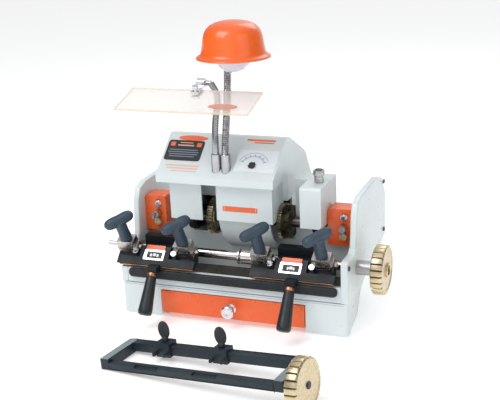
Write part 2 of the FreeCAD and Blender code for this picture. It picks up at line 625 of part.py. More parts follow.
def make_drawer():
    """Chip drawer and its turned knob."""
    half = "drawer_half - 0.8"
    tub = block("DrawerTub", ("-(%s)" % half, -1, "drawer_floor + 0.2"),
                ("2 * (%s)" % half, "drawer_deep - 6", "drawer_top - drawer_floor - 0.8"))
    room = block("DrawerRoom", ("2 - (%s)" % half, 2, "drawer_floor + 2.2"),
                 ("2 * (%s) - 4" % half, "drawer_deep - 11", 60))
    sub_part("drawer", cut("Drawer", tub, room))
    knob = turned_body("DrawerKnob", [(0, 0), (5, 0), (4.5, 9), (11, 13), (11.5, 17), (9, 20),
                                      (0, 21)])
    sub_part("drawer_knob", knob, 0, -1, 30, (1, 0, 0), 90)


# ---- cross slide and wheel -------------------------------------------------------------------

def make_shaft():
    """Cross-slide shaft, its bushes, centre sleeve and stop ring."""
    bar = rod("ShaftBar", "x", "shaft_radius", "boss_reach + 195 - 14",
              (-195, "shaft_y", "shaft_z"))
    thread = rod("ShaftThread", "x", "thread_radius", 30, ("boss_reach - 14", "shaft_y",
                                                           "shaft_z"))
    sub_part("cross_shaft", joined("Shaft", bar, thread))
    bushes = []
    for x, long in (("-half_wide - 2", "cheek_thick + 4"),
                    ("half_wide - cheek_thick - 2", "boss_reach - half_wide + cheek_thick + 2")):
        tube = rod("BushTube", "x", "bush_radius", long, (x, "shaft_y", "shaft_z"))
        bore = rod("BushTubeBore", "x", "shaft_radius + fit", 80, (x + " - 5", "shaft_y",
                                                                   "shaft_z"))
        bushes.append(cut("Bush", tube, bore))
    sub_part("shaft_bushes", group("Bushes", *bushes))
    sleeve = rod("Sleeve", "x", 12.5, 34, (0, "shaft_y", "shaft_z"))
    sleeve_bore = rod("SleeveBore", "x", "shaft_radius", 50, (-5, "shaft_y", "shaft_z"))
    ring = rod("StopRing", "x", 13.5, 3, (-6, "shaft_y", "shaft_z"))
    ring_bore = rod("StopRingBore", "x", "shaft_radius", 20, (-12, "shaft_y", "shaft_z"))
    sub_part("shaft_collars", group("Collars", cut("ShaftSleeve", sleeve, sleeve_bore),
                                    cut("ShaftStopRing", ring, ring_bore)))


def fluted_wheel(name, radius, bore_radius):
    """A hand wheel along +X from its own origin, with finger flutes in the rim."""
    disc = rod(name + "Disc", "x", radius, "wheel_wide", (0, 0, 0))
    dish = rod(name + "Dish", "x", radius + " - 9", 5, ("wheel_wide - 3", 0, 0))
    bore = rod(name + "Bore", "x", bore_radius, 40, (-10, 0, 0))
    flutes = []
    for number in range(int(value("flute_count"))):
        turn = "%d * 360 / flute_count" % number
        spot = (-1, "(%s) * cos(%s)" % (radius, turn), "(%s) * sin(%s)" % (radius, turn))
        flutes.append(rod(name + "Flute", "x", "flute_radius", "wheel_wide + 2", spot))
    return cut(name, disc, dish, bore, *flutes)


def make_wheel():
    """Feed wheel, with the bore that the shaft's thread runs in."""
    wheel = fluted_wheel("FeedWheel", "wheel_radius", "thread_radius + 0.05")
    sub_part("feed_wheel", wheel, "wheel_x", "shaft_y", "shaft_z")


# ---- carriages -------------------------------------------------------------------------------

def on_plate(x, up_slope, above):
    """A point in the carriage frame by its distance from the jaw centre on the tilted plate."""
    y = "jaw_y + cos(rock) * (%s) - sin(rock) * (%s)" % (up_slope, above)
    z = "jaw_z + sin(rock) * (%s) + cos(rock) * (%s)" % (up_slope, above)
    return x, y, z


def tilted(thing, x, up_slope, above):
    """Place a piece on the tilted plate of the carriage."""
    return place(thing, *on_plate(x, up_slope, above), axis=(1, 0, 0), angle="rock")


def make_carriage(side, centre):
    """One rocking carriage: casting, grip, two clamps with their studs, jaws and T knobs."""
    home = (centre, "shaft_y", "shaft_z")
    apron = []
    for x, wide, length in (("-apron_half", "2 * apron_half", "apron_low"),
                            ("mid_left", "mid_right - mid_left", "apron_high")):
        slab = block("Apron", (0, 0, 0), (wide, length, "apron_thick"))
        apron.append(place(slab, x, "apron_y + sin(apron_tilt) * apron_thick",
                           "apron_z - cos(apron_tilt) * apron_thick",
                           axis=(1, 0, 0), angle="apron_tilt"))
    web = profile_body("Web" + side, "YZ_Plane", "-hub_half",
                       [(-58, -11), (-40, 4), (-20, 12), (0, 14), (0, -14), (-30, -14),
                        (-50, -12.4)], "2 * hub_half")
    arms = []
    for x, wide in (("clamp_left - jaw_wide / 2", "jaw_wide / 2 - clamp_left - hub_half"),
                    ("hub_half - 2", "clamp_right + jaw_wide / 2 - hub_half + 2")):
        arms.append(profile_body("Arm" + side, "YZ_Plane", x,
                                 [(-50, -4), (-42, 3.7), (-24.25, 13.5), (-22, 12), (-22, -8),
                                  (-30, -12), (-56, -11)], wide))
    hub = rod("Hub", "x", "hub_radius", "2 * hub_half", ("-hub_half", 0, 0))
    beam = block("Beam", ("clamp_left + 19", -12, 8), ("clamp_right - clamp_left - 38", 16, 20))
    lug = block("GripLug", (-9, "grip_y - 6", "grip_z"), (18, 22, 7))
    stud = rod("GripStud", "z", "grip_stud", 18, (0, 0, -4))
    place(stud, 0, "grip_y + 4 * sin(grip_lean)", "grip_z + 4 * cos(grip_lean)",
          axis=(1, 0, 0), angle="180 - grip_lean")
    bore = rod("HubBore", "x", "shaft_radius + fit", 200, (-100, 0, 0))
    whole = joined("CarriageWhole", *apron, web, *arms, hub, beam, lug, stud)
    sub_part("carriage_" + side, cut("Carriage", whole, bore), *home)

    grip = turned_body("Grip" + side, [
        ("grip_stud", "grip_stud"), ("grip_top - 1", "grip_stud"), ("grip_top", "ferrule_tall + 4"),
        ("grip_end - 1", "grip_long * 0.6"), ("grip_end", "grip_long * 0.9"),
        ("grip_end - 1.5", "grip_long"), (0, "grip_long"), (0, 20), ("grip_stud", 20)])
    sub_part("grip_" + side, grip, centre, "shaft_y + grip_y", "shaft_z + grip_z",
             (1, 0, 0), "180 - grip_lean")

    lower = []
    for clamp in ("clamp_left", "clamp_right"):
        base = tilted(block("LowerJaw", (0, 0, 0), ("jaw_wide", "jaw_deep", "jaw_low")),
                      clamp + " - jaw_wide / 2", "-jaw_deep / 2", 0)
        stud = tilted(rod("Stud", "z", "stud_radius", "jaw_low + jaw_high + 18", (0, 0, 0)),
                      clamp, 0, 0)
        ball = sized("Part::Sphere", "EyeBall", {"Radius": 4.5})
        place(ball, *on_plate(clamp + " + jaw_wide / 2 + 3.5", 0, 6))
        lower.append(joined("LowerJawWhole", base, stud, ball))
    sub_part("lower_jaws_" + side, group("LowerJaws", *lower), *home)
    for clamp in ("clamp_left", "clamp_right"):
        name = side + "_" + ("outer" if (clamp == "clamp_left") == (side == "left") else "inner")
        jaw = block("UpperJaw", ("-jaw_wide / 2 + 2", "-jaw_deep / 2", 0),
                    ("jaw_wide - 4", "jaw_deep", "jaw_high"))
        hole = rod("UpperJawBore", "z", "stud_radius + 0.1", 40, (0, 0, -5))
        spot = on_plate(clamp, 0, "jaw_low + jaw_gap")
        world = ("%s + %s" % (centre, spot[0]), "shaft_y + " + spot[1], "shaft_z + " + spot[2])
        sub_part("upper_jaw_" + name, cut("UpperJawBored", jaw, hole), *world, (1, 0, 0), "rock")
        stem = rod("KnobStem", "z", "stem_radius", "stem_tall", (0, 0, 0))
        wing = block("KnobWing", ("-wing_wide / 2", "-wing_thick / 2", "stem_tall - 2"),
                     ("wing_wide", "wing_thick", "wing_tall"))
        soft = rounded("KnobWingRounded", wing, 7, any_of(
            *[along("y", x=x, z=z) for x in ("-wing_wide / 2", "wing_wide / 2")
              for z in ("stem_tall - 2", "stem_tall - 2 + wing_tall")]))
        place(soft, 0, 0, 0, angle="wing_yaw")
        thread = rod("KnobBore", "z", "stud_radius + 0.05", 22, (0, 0, -1))
        knob = cut("KnobBored", joined("KnobWhole", stem, soft), thread)
        spot = on_plate(clamp, 0, "jaw_low + jaw_high + 2 * jaw_gap")
        world = ("%s + %s" % (centre, spot[0]), "shaft_y + " + spot[1], "shaft_z + " + spot[2])
        sub_part("knob_" + name, knob, *world, (1, 0, 0), "rock")


def make_gauge_rod():
    """Sliding key-stop rod at the left end of the left carriage."""
    spot = on_plate("clamp_left - jaw_wide / 2 - 24", 4, 5)
    bar = rod("StopRod", "x", "rod_radius", 24, spot)
    sub_part("stop_rod", group("StopRodGroup", bar), "left_x", "shaft_y", "shaft_z")


# ---- long-key clamp --------------------------------------------------------------------------

def clamp_frame_spot(x, y, z):
    """World coordinates of a point of the long-key clamp, which leans on its own wheel."""
    flat = "(cos(frame_tilt) * (%s) - sin(frame_tilt) * (%s))" % (x, z)
    return ("frame_x + cos(frame_yaw) * %s + sin(frame_yaw) * (%s)" % (flat, y),
            "frame_y - sin(frame_yaw) * %s + cos(frame_yaw) * (%s)" % (flat, y),
            "sin(frame_tilt) * (%s) + cos(frame_tilt) * (%s)" % (x, z))


def lay_down(label, thing, x, y, z):
    """Place a piece of the long-key clamp: yawed on the bench and tilted up to its wheel."""
    turn = (Rotation(Vector(0, 0, -1), value("frame_yaw"))
            * Rotation(Vector(0, -1, 0), value("frame_tilt")))
    spot = clamp_frame_spot(x, y, z)
    sub_part(label, thing, *spot)
    thing.Placement = Placement(thing.Placement.Base, turn)


def make_long_clamp():
    """Frame with two rails, two sliding clamps with wing screws, and its own hand wheel."""
    inner = "frame_long - 2 * end_wide"
    rear = block("RearRail", ("end_wide", "frame_deep - rail_deep", 3), (inner, "rail_deep",
                                                                        "rail_tall"))
    front = block("FrontRail", ("end_wide", 0, 0), (inner, "rail_deep", "rail_tall - 3"))
    notches = [block("RailNotch", (x + " - 8", -1, "rail_tall - 7"), ("slider_wide + 16", 9, 9))
               for x in ("first_slider + 10", "second_slider + 10")]
    rails = [rear, cut("FrontRailCut", front, *notches)]
    ends = [block("EndPlate", (x, 0, 0), ("end_wide", "frame_deep", "rail_tall + 3"))
            for x in (0, "frame_long - end_wide")]
    stub = rod("WheelStub", "x", 6, "wheel_gap + 21", ("frame_long", 16, 9))
    ends[1] = joined("EndWithStub", ends[1], stub)
    lay_down("long_clamp_frame", group("LongClampFrame", *rails, *ends), 0, 0, 0)
    for number, x in (("one", "first_slider"), ("two", "second_slider")):
        saddle = block("Saddle", (0, "frame_deep - rail_deep - 4", 0.5),
                       ("slider_wide", "rail_deep + 8", "rail_tall + 8"))
        track = block("SaddleTrack", (-5, "frame_deep - rail_deep - 0.4", 2.6),
                      (60, "rail_deep + 0.8", "rail_tall + 0.8"))
        prongs = [block("Prong", (spot, "frame_deep - rail_deep - 16", 6), (4, 14, 5))
                  for spot in (1, "slider_wide - 5")]
        bore = rod("SaddleBore", "z", 3.1, 30, ("slider_wide / 2", "frame_deep - rail_deep / 2",
                                                "rail_tall + 3.5"))
        body = cut("SaddleBody", joined("SaddleWhole", saddle, *prongs), track, bore)
        lay_down("slider_" + number, body, x, 0, 0)
        pin = rod("WingPin", "z", 3, 14, (0, 0, 0))
        collar = rod("WingCollar", "z", 5.5, 5, (0, 0, 5))
        wing = block("Wing", (-11, -2.5, 8), (22, 5, 30))
        soft = rounded("WingRounded", wing, 9, any_of(along("y", z=38), along("y", z=8)))
        lay_down("wing_screw_" + number, joined("WingScrew", pin, collar, soft),
                 x + " + slider_wide / 2", "frame_deep - rail_deep / 2", "rail_tall + 3.8")
    wheel = fluted_wheel("ClampWheel", "frame_wheel", "6 + fit")
    lay_down("long_clamp_wheel", wheel, "frame_long + wheel_gap", 16, 9)


def export_sub_parts():
    """Check every object and write one STEP file for each sub-part."""
    doc.recompute()
    for thing in doc.Objects:
        if "Invalid" in thing.State or "Error" in thing.State:
            raise RuntimeError("%s: %s" % (thing.Label, thing.State))
    os.makedirs("parts", exist_ok=True)
    for thing in sub_parts:
        if thing.Shape.isNull() or not thing.Shape.isValid() or not thing.Shape.Solids:
            raise RuntimeError(thing.Label + " has no valid solid")
        thing.Shape.exportStep("parts/%s.step" % thing.Label)


make_base()
make_tray()
make_cheeks()
make_bumper()
make_hood()
make_covers()
make_tracers()
make_bearings()
make_spindle()
make_motor()
make_lock()
make_gauge()
make_power()
make_lamp()
make_shield()
make_drawer()
make_shaft()
make_wheel()
make_carriage("left", "left_x")
make_carriage("right", "right_x")
make_gauge_rod()
make_long_clamp()
export_sub_parts()
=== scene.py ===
import json
import math
import bmesh
import bpy
from mathutils import Matrix, Vector


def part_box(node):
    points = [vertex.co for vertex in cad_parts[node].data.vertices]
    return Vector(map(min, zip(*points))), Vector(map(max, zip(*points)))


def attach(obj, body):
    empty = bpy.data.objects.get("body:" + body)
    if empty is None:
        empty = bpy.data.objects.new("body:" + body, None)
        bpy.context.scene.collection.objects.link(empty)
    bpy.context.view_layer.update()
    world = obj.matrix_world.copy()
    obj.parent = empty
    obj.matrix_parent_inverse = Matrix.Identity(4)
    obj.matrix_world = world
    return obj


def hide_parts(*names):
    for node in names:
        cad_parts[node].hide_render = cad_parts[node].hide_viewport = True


# Key duplicating machine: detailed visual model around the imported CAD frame.
# Metres; X right, Y back, Z up. Places are measured from the frame's boxes and joints, or up
# from the bench.

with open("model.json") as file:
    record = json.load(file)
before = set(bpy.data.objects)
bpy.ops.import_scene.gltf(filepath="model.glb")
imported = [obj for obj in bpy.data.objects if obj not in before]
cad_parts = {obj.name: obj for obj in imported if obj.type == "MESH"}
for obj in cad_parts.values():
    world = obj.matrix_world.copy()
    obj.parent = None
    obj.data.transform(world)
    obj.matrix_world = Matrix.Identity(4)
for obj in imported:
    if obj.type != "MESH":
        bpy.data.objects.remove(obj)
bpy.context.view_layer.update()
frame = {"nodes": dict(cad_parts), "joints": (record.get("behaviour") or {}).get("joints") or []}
nodes = frame["nodes"]
joints = {joint["name"]: joint for joint in frame["joints"]}

MM = 0.001
X, Y, Z = Vector((1, 0, 0)), Vector((0, 1, 0)), Vector((0, 0, 1))


def joint_spot(name):
    """Where a hinge turns, and its unit axis."""
    return Vector(joints[name]["pos_m"]), Vector(joints[name]["axis"]).normalized()


# ---- camera, floor and light -----------------------------------------------------------------

CAMERA_AZIMUTH, CAMERA_PITCH, CAMERA_ROLL = 21.39, 17.28, -2.36
CAMERA_SPOT = Vector((0.6133, -1.5864, 0.7101))
CAMERA_LENS, CAMERA_SENSOR, CAMERA_FAR = 74.3, 36, 20


def make_camera():
    """Camera at the photograph's viewing angle: three-quarter view from the front right."""
    turn, pitch, roll = map(math.radians, (CAMERA_AZIMUTH, CAMERA_PITCH, CAMERA_ROLL))
    back = Vector((math.sin(turn) * math.cos(pitch), -math.cos(turn) * math.cos(pitch),
                   math.sin(pitch)))
    right = Vector((math.cos(turn), math.sin(turn), 0))
    up = back.cross(right)
    side = right * math.cos(roll) + up * math.sin(roll)
    top = up * math.cos(roll) - right * math.sin(roll)
    data = bpy.data.cameras.new("Camera")
    data.lens, data.sensor_width, data.clip_end = CAMERA_LENS, CAMERA_SENSOR, CAMERA_FAR
    camera = bpy.data.objects.new("Camera", data)
    bpy.context.scene.collection.objects.link(camera)
    basis = Matrix((side, top, back)).transposed().to_4x4()
    camera.matrix_world = Matrix.Translation(CAMERA_SPOT) @ basis
    bpy.context.scene.camera = camera


def make_light():
    """Soft studio light: pale surroundings, darker at the sides, with key, fill and rim."""
    world = bpy.data.worlds.new("Studio")
    world.use_nodes = True
    tree = world.node_tree
    shade = tree.nodes.new("ShaderNodeValToRGB")
    shade.color_ramp.elements[0].position, shade.color_ramp.elements[1].position = 0.2, 0.9
    shade.color_ramp.elements[0].color = (1, 1, 1, 1)
    shade.color_ramp.elements[1].color = (0.10, 0.11, 0.12, 1)
    split = tree.nodes.new("ShaderNodeSeparateXYZ")
    side = tree.nodes.new("ShaderNodeMath")
    side.operation = "ABSOLUTE"
    tree.links.new(tree.nodes.new("ShaderNodeTexCoord").outputs["Generated"],
                   split.inputs["Vector"])
    tree.links.new(split.outputs["X"], side.inputs[0])
    tree.links.new(side.outputs["Value"], shade.inputs["Fac"])
    tree.links.new(shade.outputs["Color"], tree.nodes["Background"].inputs["Color"])
    tree.nodes["Background"].inputs["Strength"].default_value = 0.9
    bpy.context.scene.world = world
    for name, spot, size, power in (("Key", (-0.9, -1.4, 2.2), 1.5, 30),
                                    ("Fill", (1.7, -1.0, 1.2), 1.6, 7),
                                    ("Rim", (0.3, 1.6, 1.8), 1.2, 8)):
        data = bpy.data.lights.new(name, "AREA")
        data.size, data.energy = size, power
        light = bpy.data.objects.new(name, data)
        bpy.context.scene.collection.objects.link(light)
        light.location = spot
        light.rotation_euler = (Vector((0, 0, 0.15)) - Vector(spot)).to_track_quat(
            "-Z", "Y").to_euler()
    bpy.context.scene.view_settings.view_transform = "Standard"


# ---- materials -------------------------------------------------------------------------------

def new_material(name, color, rough, metallic=0.0, **sockets):
    """A Principled material; uniform values go on the shader's own sockets."""
    material = bpy.data.materials.new(name)
    material.use_nodes = True
    shader = material.node_tree.nodes["Principled BSDF"]
    shader.inputs["Base Color"].default_value = (*color, 1)
    shader.inputs["Roughness"].default_value = rough
    shader.inputs["Metallic"].default_value = metallic
    for socket, number in sockets.items():
        shader.inputs[socket.replace("_", " ")].default_value = number
    return material


def noise_of(tree, scale, detail=3.0, stretch=(1, 1, 1)):
    """Noise in object space, in cycles per metre, stretched for grain or brushing."""
    place = tree.nodes.new("ShaderNodeTexCoord")
    mapping = tree.nodes.new("ShaderNodeMapping")
    mapping.inputs["Scale"].default_value = stretch
    noise = tree.nodes.new("ShaderNodeTexNoise")
    noise.inputs["Scale"].default_value = scale
    noise.inputs["Detail"].default_value = detail
    tree.links.new(place.outputs["Object"], mapping.inputs["Vector"])
    tree.links.new(mapping.outputs["Vector"], noise.inputs["Vector"])
    return noise.outputs["Fac"]


def vary(material, scale, dark, low=0.35, high=0.7, stretch=(1, 1, 1)):
    """Cloud the base colour towards a darker one."""
    tree = material.node_tree
    shader = tree.nodes["Principled BSDF"]
    ramp = tree.nodes.new("ShaderNodeValToRGB")
    ramp.color_ramp.elements[0].position = low
    ramp.color_ramp.elements[1].position = high
    ramp.color_ramp.elements[0].color = (*dark, 1)
    ramp.color_ramp.elements[1].color = shader.inputs["Base Color"].default_value
    tree.links.new(noise_of(tree, scale, 4, stretch), ramp.inputs["Fac"])
    tree.links.new(ramp.outputs["Color"], shader.inputs["Base Color"])
    return material


def roughen(material, scale, low, high, stretch=(1, 1, 1)):
    """Let the roughness wander between two values."""
    tree = material.node_tree
    spread = tree.nodes.new("ShaderNodeMapRange")
    spread.inputs["From Min"].default_value = 0.3
    spread.inputs["From Max"].default_value = 0.7
    spread.inputs["To Min"].default_value = low
    spread.inputs["To Max"].default_value = high
    tree.links.new(noise_of(tree, scale, 4, stretch), spread.inputs["Value"])
    tree.links.new(spread.outputs["Result"],
                   tree.nodes["Principled BSDF"].inputs["Roughness"])
    return material


def bump(material, scale, depth, stretch=(1, 1, 1)):
    """Fine surface relief, depth in metres."""
    tree = material.node_tree
    relief = tree.nodes.new("ShaderNodeBump")
    relief.inputs["Distance"].default_value = depth
    relief.inputs["Strength"].default_value = 0.6
    tree.links.new(noise_of(tree, scale, 2, stretch), relief.inputs["Height"])
    tree.links.new(relief.outputs["Normal"], tree.nodes["Principled BSDF"].inputs["Normal"])
    return material


def enamel(name, color, dark, rough, coat=0.3, gloss=0.5):
    """Stoved paint over a casting: slight clouding, orange peel and a thin clear coat."""
    paint = new_material(name, color, rough, Coat_Weight=coat, Coat_Roughness=0.12,
                         Specular_IOR_Level=gloss)
    vary(paint, 9, dark)
    roughen(paint, 60, rough - 0.07, rough + 0.1)
    return bump(paint, 700, 0.00012)


def machined(name, color, dark, rough, stretch, grain=900):
    """Turned or ground metal with fine lines along the cut."""
    metal = new_material(name, color, rough, 1.0)
    vary(metal, grain * 0.3, dark, stretch=stretch)
    roughen(metal, grain, max(rough - 0.1, 0.04), rough + 0.14, stretch)
    return bump(metal, grain, 0.00005, stretch)


def moulded(name, color, dark, rough, grain=1500, depth=0.00012):
    """Moulded plastic or rubber with a fine sparked grain."""
    plastic = new_material(name, color, rough)
    vary(plastic, 35, dark)
    roughen(plastic, 120, rough - 0.06, rough + 0.12)
    return bump(plastic, grain, depth)


WHITE = enamel("EnamelWhite", (0.70, 0.765, 0.775), (0.655, 0.725, 0.74), 0.34)
ORANGE = enamel("EnamelOrange", (0.90, 0.135, 0.018), (0.82, 0.11, 0.014), 0.3)
GLOSS = enamel("EnamelShade", (0.93, 0.15, 0.02), (0.88, 0.125, 0.016), 0.2)
BLACK = enamel("EnamelBlack", (0.012, 0.017, 0.02), (0.008, 0.012, 0.015), 0.42, 0.05, 0.25)
SLATE = enamel("EnamelSlate", (0.024, 0.038, 0.048), (0.016, 0.027, 0.036), 0.42, 0.05, 0.3)
PALE = enamel("EnamelPaleGrey", (0.25, 0.31, 0.34), (0.21, 0.27, 0.30), 0.42)
MOTOR = enamel("EnamelMotor", (0.05, 0.055, 0.065), (0.035, 0.04, 0.045), 0.5)
KNOB = moulded("KnobPlastic", (0.036, 0.066, 0.098), (0.026, 0.05, 0.078), 0.42)
GRIP = moulded("GripPlastic", (0.014, 0.02, 0.024), (0.009, 0.013, 0.016), 0.4)
PLASTIC = moulded("BlackPlastic", (0.02, 0.024, 0.028), (0.013, 0.016, 0.02), 0.46)
RUBBER = moulded("Rubber", (0.012, 0.016, 0.02), (0.008, 0.01, 0.013), 0.6, 600, 0.0002)
STEEL = machined("SteelGround", (0.56, 0.55, 0.545), (0.36, 0.355, 0.36), 0.32, (0.12, 1, 1))
OILED = machined("OiledSheet", (0.26, 0.22, 0.185), (0.12, 0.095, 0.08), 0.4, (1, 0.3, 1), 40)
DARK_STEEL = machined("SteelOiled", (0.20, 0.19, 0.18), (0.09, 0.085, 0.08), 0.36, (0.2, 1, 1))
JAW = machined("SteelJaw", (0.64, 0.60, 0.575), (0.50, 0.46, 0.44), 0.3, (1, 1, 0.15), 500)
POST = machined("ChromePost", (0.50, 0.51, 0.53), (0.34, 0.35, 0.37), 0.16, (1, 1, 0.3), 300)
CHROME = machined("Chrome", (0.80, 0.81, 0.83), (0.66, 0.67, 0.70), 0.13, (1, 1, 0.3), 300)
ROD = machined("ChromeRod", (0.82, 0.80, 0.79), (0.64, 0.61, 0.60), 0.15, (0.1, 1, 1), 500)
BRASS = machined("Brass", (0.72, 0.62, 0.43), (0.57, 0.47, 0.30), 0.34, (0.2, 1, 1), 700)
# Dark brass for the wheel flutes: painted shade standing in for the shadow inside the grooves.
GROOVE_SHADE = machined("BrassGrooveShade", (0.20, 0.15, 0.08), (0.10, 0.07, 0.04), 0.5, (0.2, 1, 1), 700)
COPPER = machined("Copper", (0.62, 0.30, 0.17), (0.42, 0.18, 0.10), 0.34, (0.3, 1, 1), 600)
BRISTLE = machined("Bristle", (0.30, 0.26, 0.17), (0.07, 0.06, 0.045), 0.42, (1, 1, 1), 500)
CUTTER = machined("CutterSteel", (0.42, 0.37, 0.24), (0.16, 0.14, 0.09), 0.3, (0.2, 1, 1), 800)
TICK_BLUE = new_material("ScaleBlue", (0.10, 0.17, 0.42), 0.5)
INK_ORANGE = new_material("InkOrange", (0.85, 0.16, 0.06), 0.45)
INK_PALE = new_material("InkPaleOrange", (0.80, 0.42, 0.32), 0.5)
INK_BLACK = new_material("InkBlack", (0.02, 0.02, 0.022), 0.35)
INK_GREY = new_material("InkGrey", (0.20, 0.25, 0.33), 0.5)
INK_WHITE = new_material("InkWhite", (0.82, 0.85, 0.87), 0.45)
for ink in (TICK_BLUE, INK_ORANGE, INK_PALE, INK_BLACK, INK_GREY, INK_WHITE):
    roughen(bump(ink, 900, 0.00002), 150, 0.36, 0.55)
STAMP = new_material("StampOrange", (0.90, 0.36, 0.24), 0.4, Alpha=0.7)
STAMP_PALE = new_material("StampPale", (0.92, 0.66, 0.56), 0.4, Alpha=0.5)
for stamp in (STAMP, STAMP_PALE):
    roughen(stamp, 200, 0.3, 0.5)
PLATE = enamel("GaugeEnamel", (0.80, 0.86, 0.89), (0.76, 0.82, 0.86), 0.3)
ACRYLIC = new_material("ClearAcrylic", (0.93, 0.91, 0.86), 0.06, Alpha=0.42, IOR=1.49,
                       Coat_Weight=0.5)
roughen(ACRYLIC, 40, 0.04, 0.12)
EDGE = new_material("AcrylicEdge", (0.80, 0.66, 0.47), 0.15, Alpha=0.72, IOR=1.49)
roughen(EDGE, 200, 0.1, 0.3)
OPAL = new_material("OpalGlass", (0.70, 0.68, 0.79), 0.08, Coat_Weight=1.0)
roughen(OPAL, 50, 0.05, 0.12)


# ---- mesh helpers ----------------------------------------------------------------------------

def finish_piece(piece, body, slot, *replaced):
    """Ride a piece on its body and hide the CAD nodes it stands for; slot is not used."""
    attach(piece, body)
    if replaced:
        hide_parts(*replaced)
    return piece


def add_mesh(name, bm, *materials, sharp=32):
    """Turn a bmesh into an object with smooth faces and sharp edges above an angle."""
    bmesh.ops.recalc_face_normals(bm, faces=bm.faces)
    mesh = bpy.data.meshes.new(name)
    bm.to_mesh(mesh)
    bm.free()
    for material in materials:
        mesh.materials.append(material)
    for face in mesh.polygons:
        face.use_smooth = True
    mesh.set_sharp_from_angle(angle=math.radians(sharp))
    piece = bpy.data.objects.new(name, mesh)
    bpy.context.scene.collection.objects.link(piece)
    return piece


def bevelled(piece, width, segments=3, angle=28):
    """Round the edges of a piece by a bevel in metres."""
    bevel = piece.modifiers.new("Bevel", "BEVEL")
    bevel.width, bevel.segments, bevel.limit_method = width, segments, "ANGLE"
    bevel.angle_limit = math.radians(angle)
    bevel.use_clamp_overlap = True
    bevel.harden_normals = True
    return piece


def copy_of(node, name, *materials):
    """A new piece with a CAD node's shape, its flat faces merged so that edges can be rounded."""
    weld, flat = 0.01 * MM, math.radians(0.6)
    bm = bmesh.new()
    bm.from_mesh(nodes[node].data)
    bmesh.ops.remove_doubles(bm, verts=bm.verts, dist=weld)
    bmesh.ops.dissolve_limit(bm, angle_limit=flat, verts=bm.verts, edges=bm.edges)
    for face in bm.faces:
        face.material_index = 0
    return add_mesh(name, bm, *materials)


def soften(node, body, slot, width, material, segments=2, angle=28):
    """Replace a CAD node by its own shape, its edges rounded by a width in millimetres."""
    piece = bevelled(copy_of(node, node + "_finish", material), width * MM, segments, angle)
    return finish_piece(piece, body, slot, node)


def axes_of(axis, side=None):
    """A rotation whose Z is the axis; its X follows side where one is given."""
    up = Vector(axis).normalized()
    across = Vector(side) if side is not None else (X if abs(up.x) < 0.9 else Y)
    across = (across - up * across.dot(up)).normalized()
    return Matrix((across, up.cross(across), up)).transposed()


def mm(*pairs):
    """Points of a profile or outline given in millimetres."""
    return [(a * MM, b * MM) for a, b in pairs]


def scatter(seed, spread=43758.5453):
    """A repeatable share from 0 to 1 that looks random from one seed to the next."""
    wave = math.sin(seed) * spread
    return wave - math.floor(wave)


def ring_into(bm, points, spot, turn):
    """Vertices at points measured along a rotation's axes from a spot."""
    return [bm.verts.new(spot + turn @ Vector(point)) for point in points]


def loft_into(bm, rings, index=0, capped=True):
    """Faces from each ring of vertices to the next, and over the two ends."""
    for near, far in zip(rings, rings[1:]):
        for k in range(len(near)):
            after = (k + 1) % len(near)
            bm.faces.new((near[k], near[after], far[after], far[k])).material_index = index
    if capped:
        bm.faces.new(rings[0][::-1]).material_index = index
        bm.faces.new(rings[-1]).material_index = index


def lathe_into(bm, profile, spot, axis, steps=48, index=0):
    """Spin a profile of (radius, height) in metres about an axis through a spot."""
    turn = axes_of(axis)
    rings = []
    for radius, height in profile:
        if radius < 1e-7:
            rings.append([bm.verts.new(spot + turn @ Vector((0, 0, height)))])
        else:
            rings.append([bm.verts.new(spot + turn @ Vector((
                radius * math.cos(2 * math.pi * k / steps),
                radius * math.sin(2 * math.pi * k / steps), height))) for k in range(steps)])
    for low, high in zip(rings, rings[1:]):
        for k in range(steps):
            after = (k + 1) % steps
            if len(low) == 1 and len(high) == 1:
                continue
            if len(low) == 1:
                face = bm.faces.new((low[0], high[k], high[after]))
            elif len(high) == 1:
                face = bm.faces.new((low[k], low[after], high[0]))
            else:
                face = bm.faces.new((low[k], low[after], high[after], high[k]))
            face.material_index = index
    return bm


def lathe(name, profile, spot, axis, *materials, steps=48):
    """One turned piece."""
    return add_mesh(name, lathe_into(bmesh.new(), profile, Vector(spot), axis, steps),
                    *materials)


def box_into(bm, spot, size, turn=Matrix.Identity(3), index=0):
    """A box centred on a spot, with its three sizes along a rotation's axes."""
    corners = ring_into(bm, [(a * size[0] / 2, b * size[1] / 2, c * size[2] / 2)
                             for a in (-1, 1) for b in (-1, 1) for c in (-1, 1)], spot, turn)
    for loop in ((0, 1, 3, 2), (4, 6, 7, 5), (0, 4, 5, 1), (2, 3, 7, 6), (0, 2, 6, 4),
                 (1, 5, 7, 3)):
        bm.faces.new([corners[k] for k in loop]).material_index = index


def outline_into(bm, points, spot, turn, thick, index=0):
    """A flat plate from an outline in a rotation's XY plane, thickened along its Z."""
    loft_into(bm, [ring_into(bm, [(x, y, level) for x, y in points], spot, turn)
                   for level in (0, thick)], index)


def round_rect(wide, tall, corner, steps=5):
    """Outline of a rectangle with round corners, centred on the origin."""
    points = []
    for k, (a, b) in enumerate(((1, 1), (-1, 1), (-1, -1), (1, -1))):
        for step in range(steps + 1):
            angle = math.pi / 2 * (k + step / steps)
            points.append((a * (wide / 2 - corner) + corner * math.cos(angle),
                           b * (tall / 2 - corner) + corner * math.sin(angle)))
    return points


def plate_into(bm, wide, tall, corner, spot, turn, thick, index=0):
    """A plate or print with round corners, its four sizes in millimetres."""
    outline_into(bm, round_rect(wide * MM, tall * MM, corner * MM), spot, turn, thick * MM,
                 index)


def oval(wide, tall, steps=40):
    """Outline of an ellipse centred on the origin."""
    return [(wide / 2 * math.cos(2 * math.pi * k / steps),
             tall / 2 * math.sin(2 * math.pi * k / steps)) for k in range(steps)]


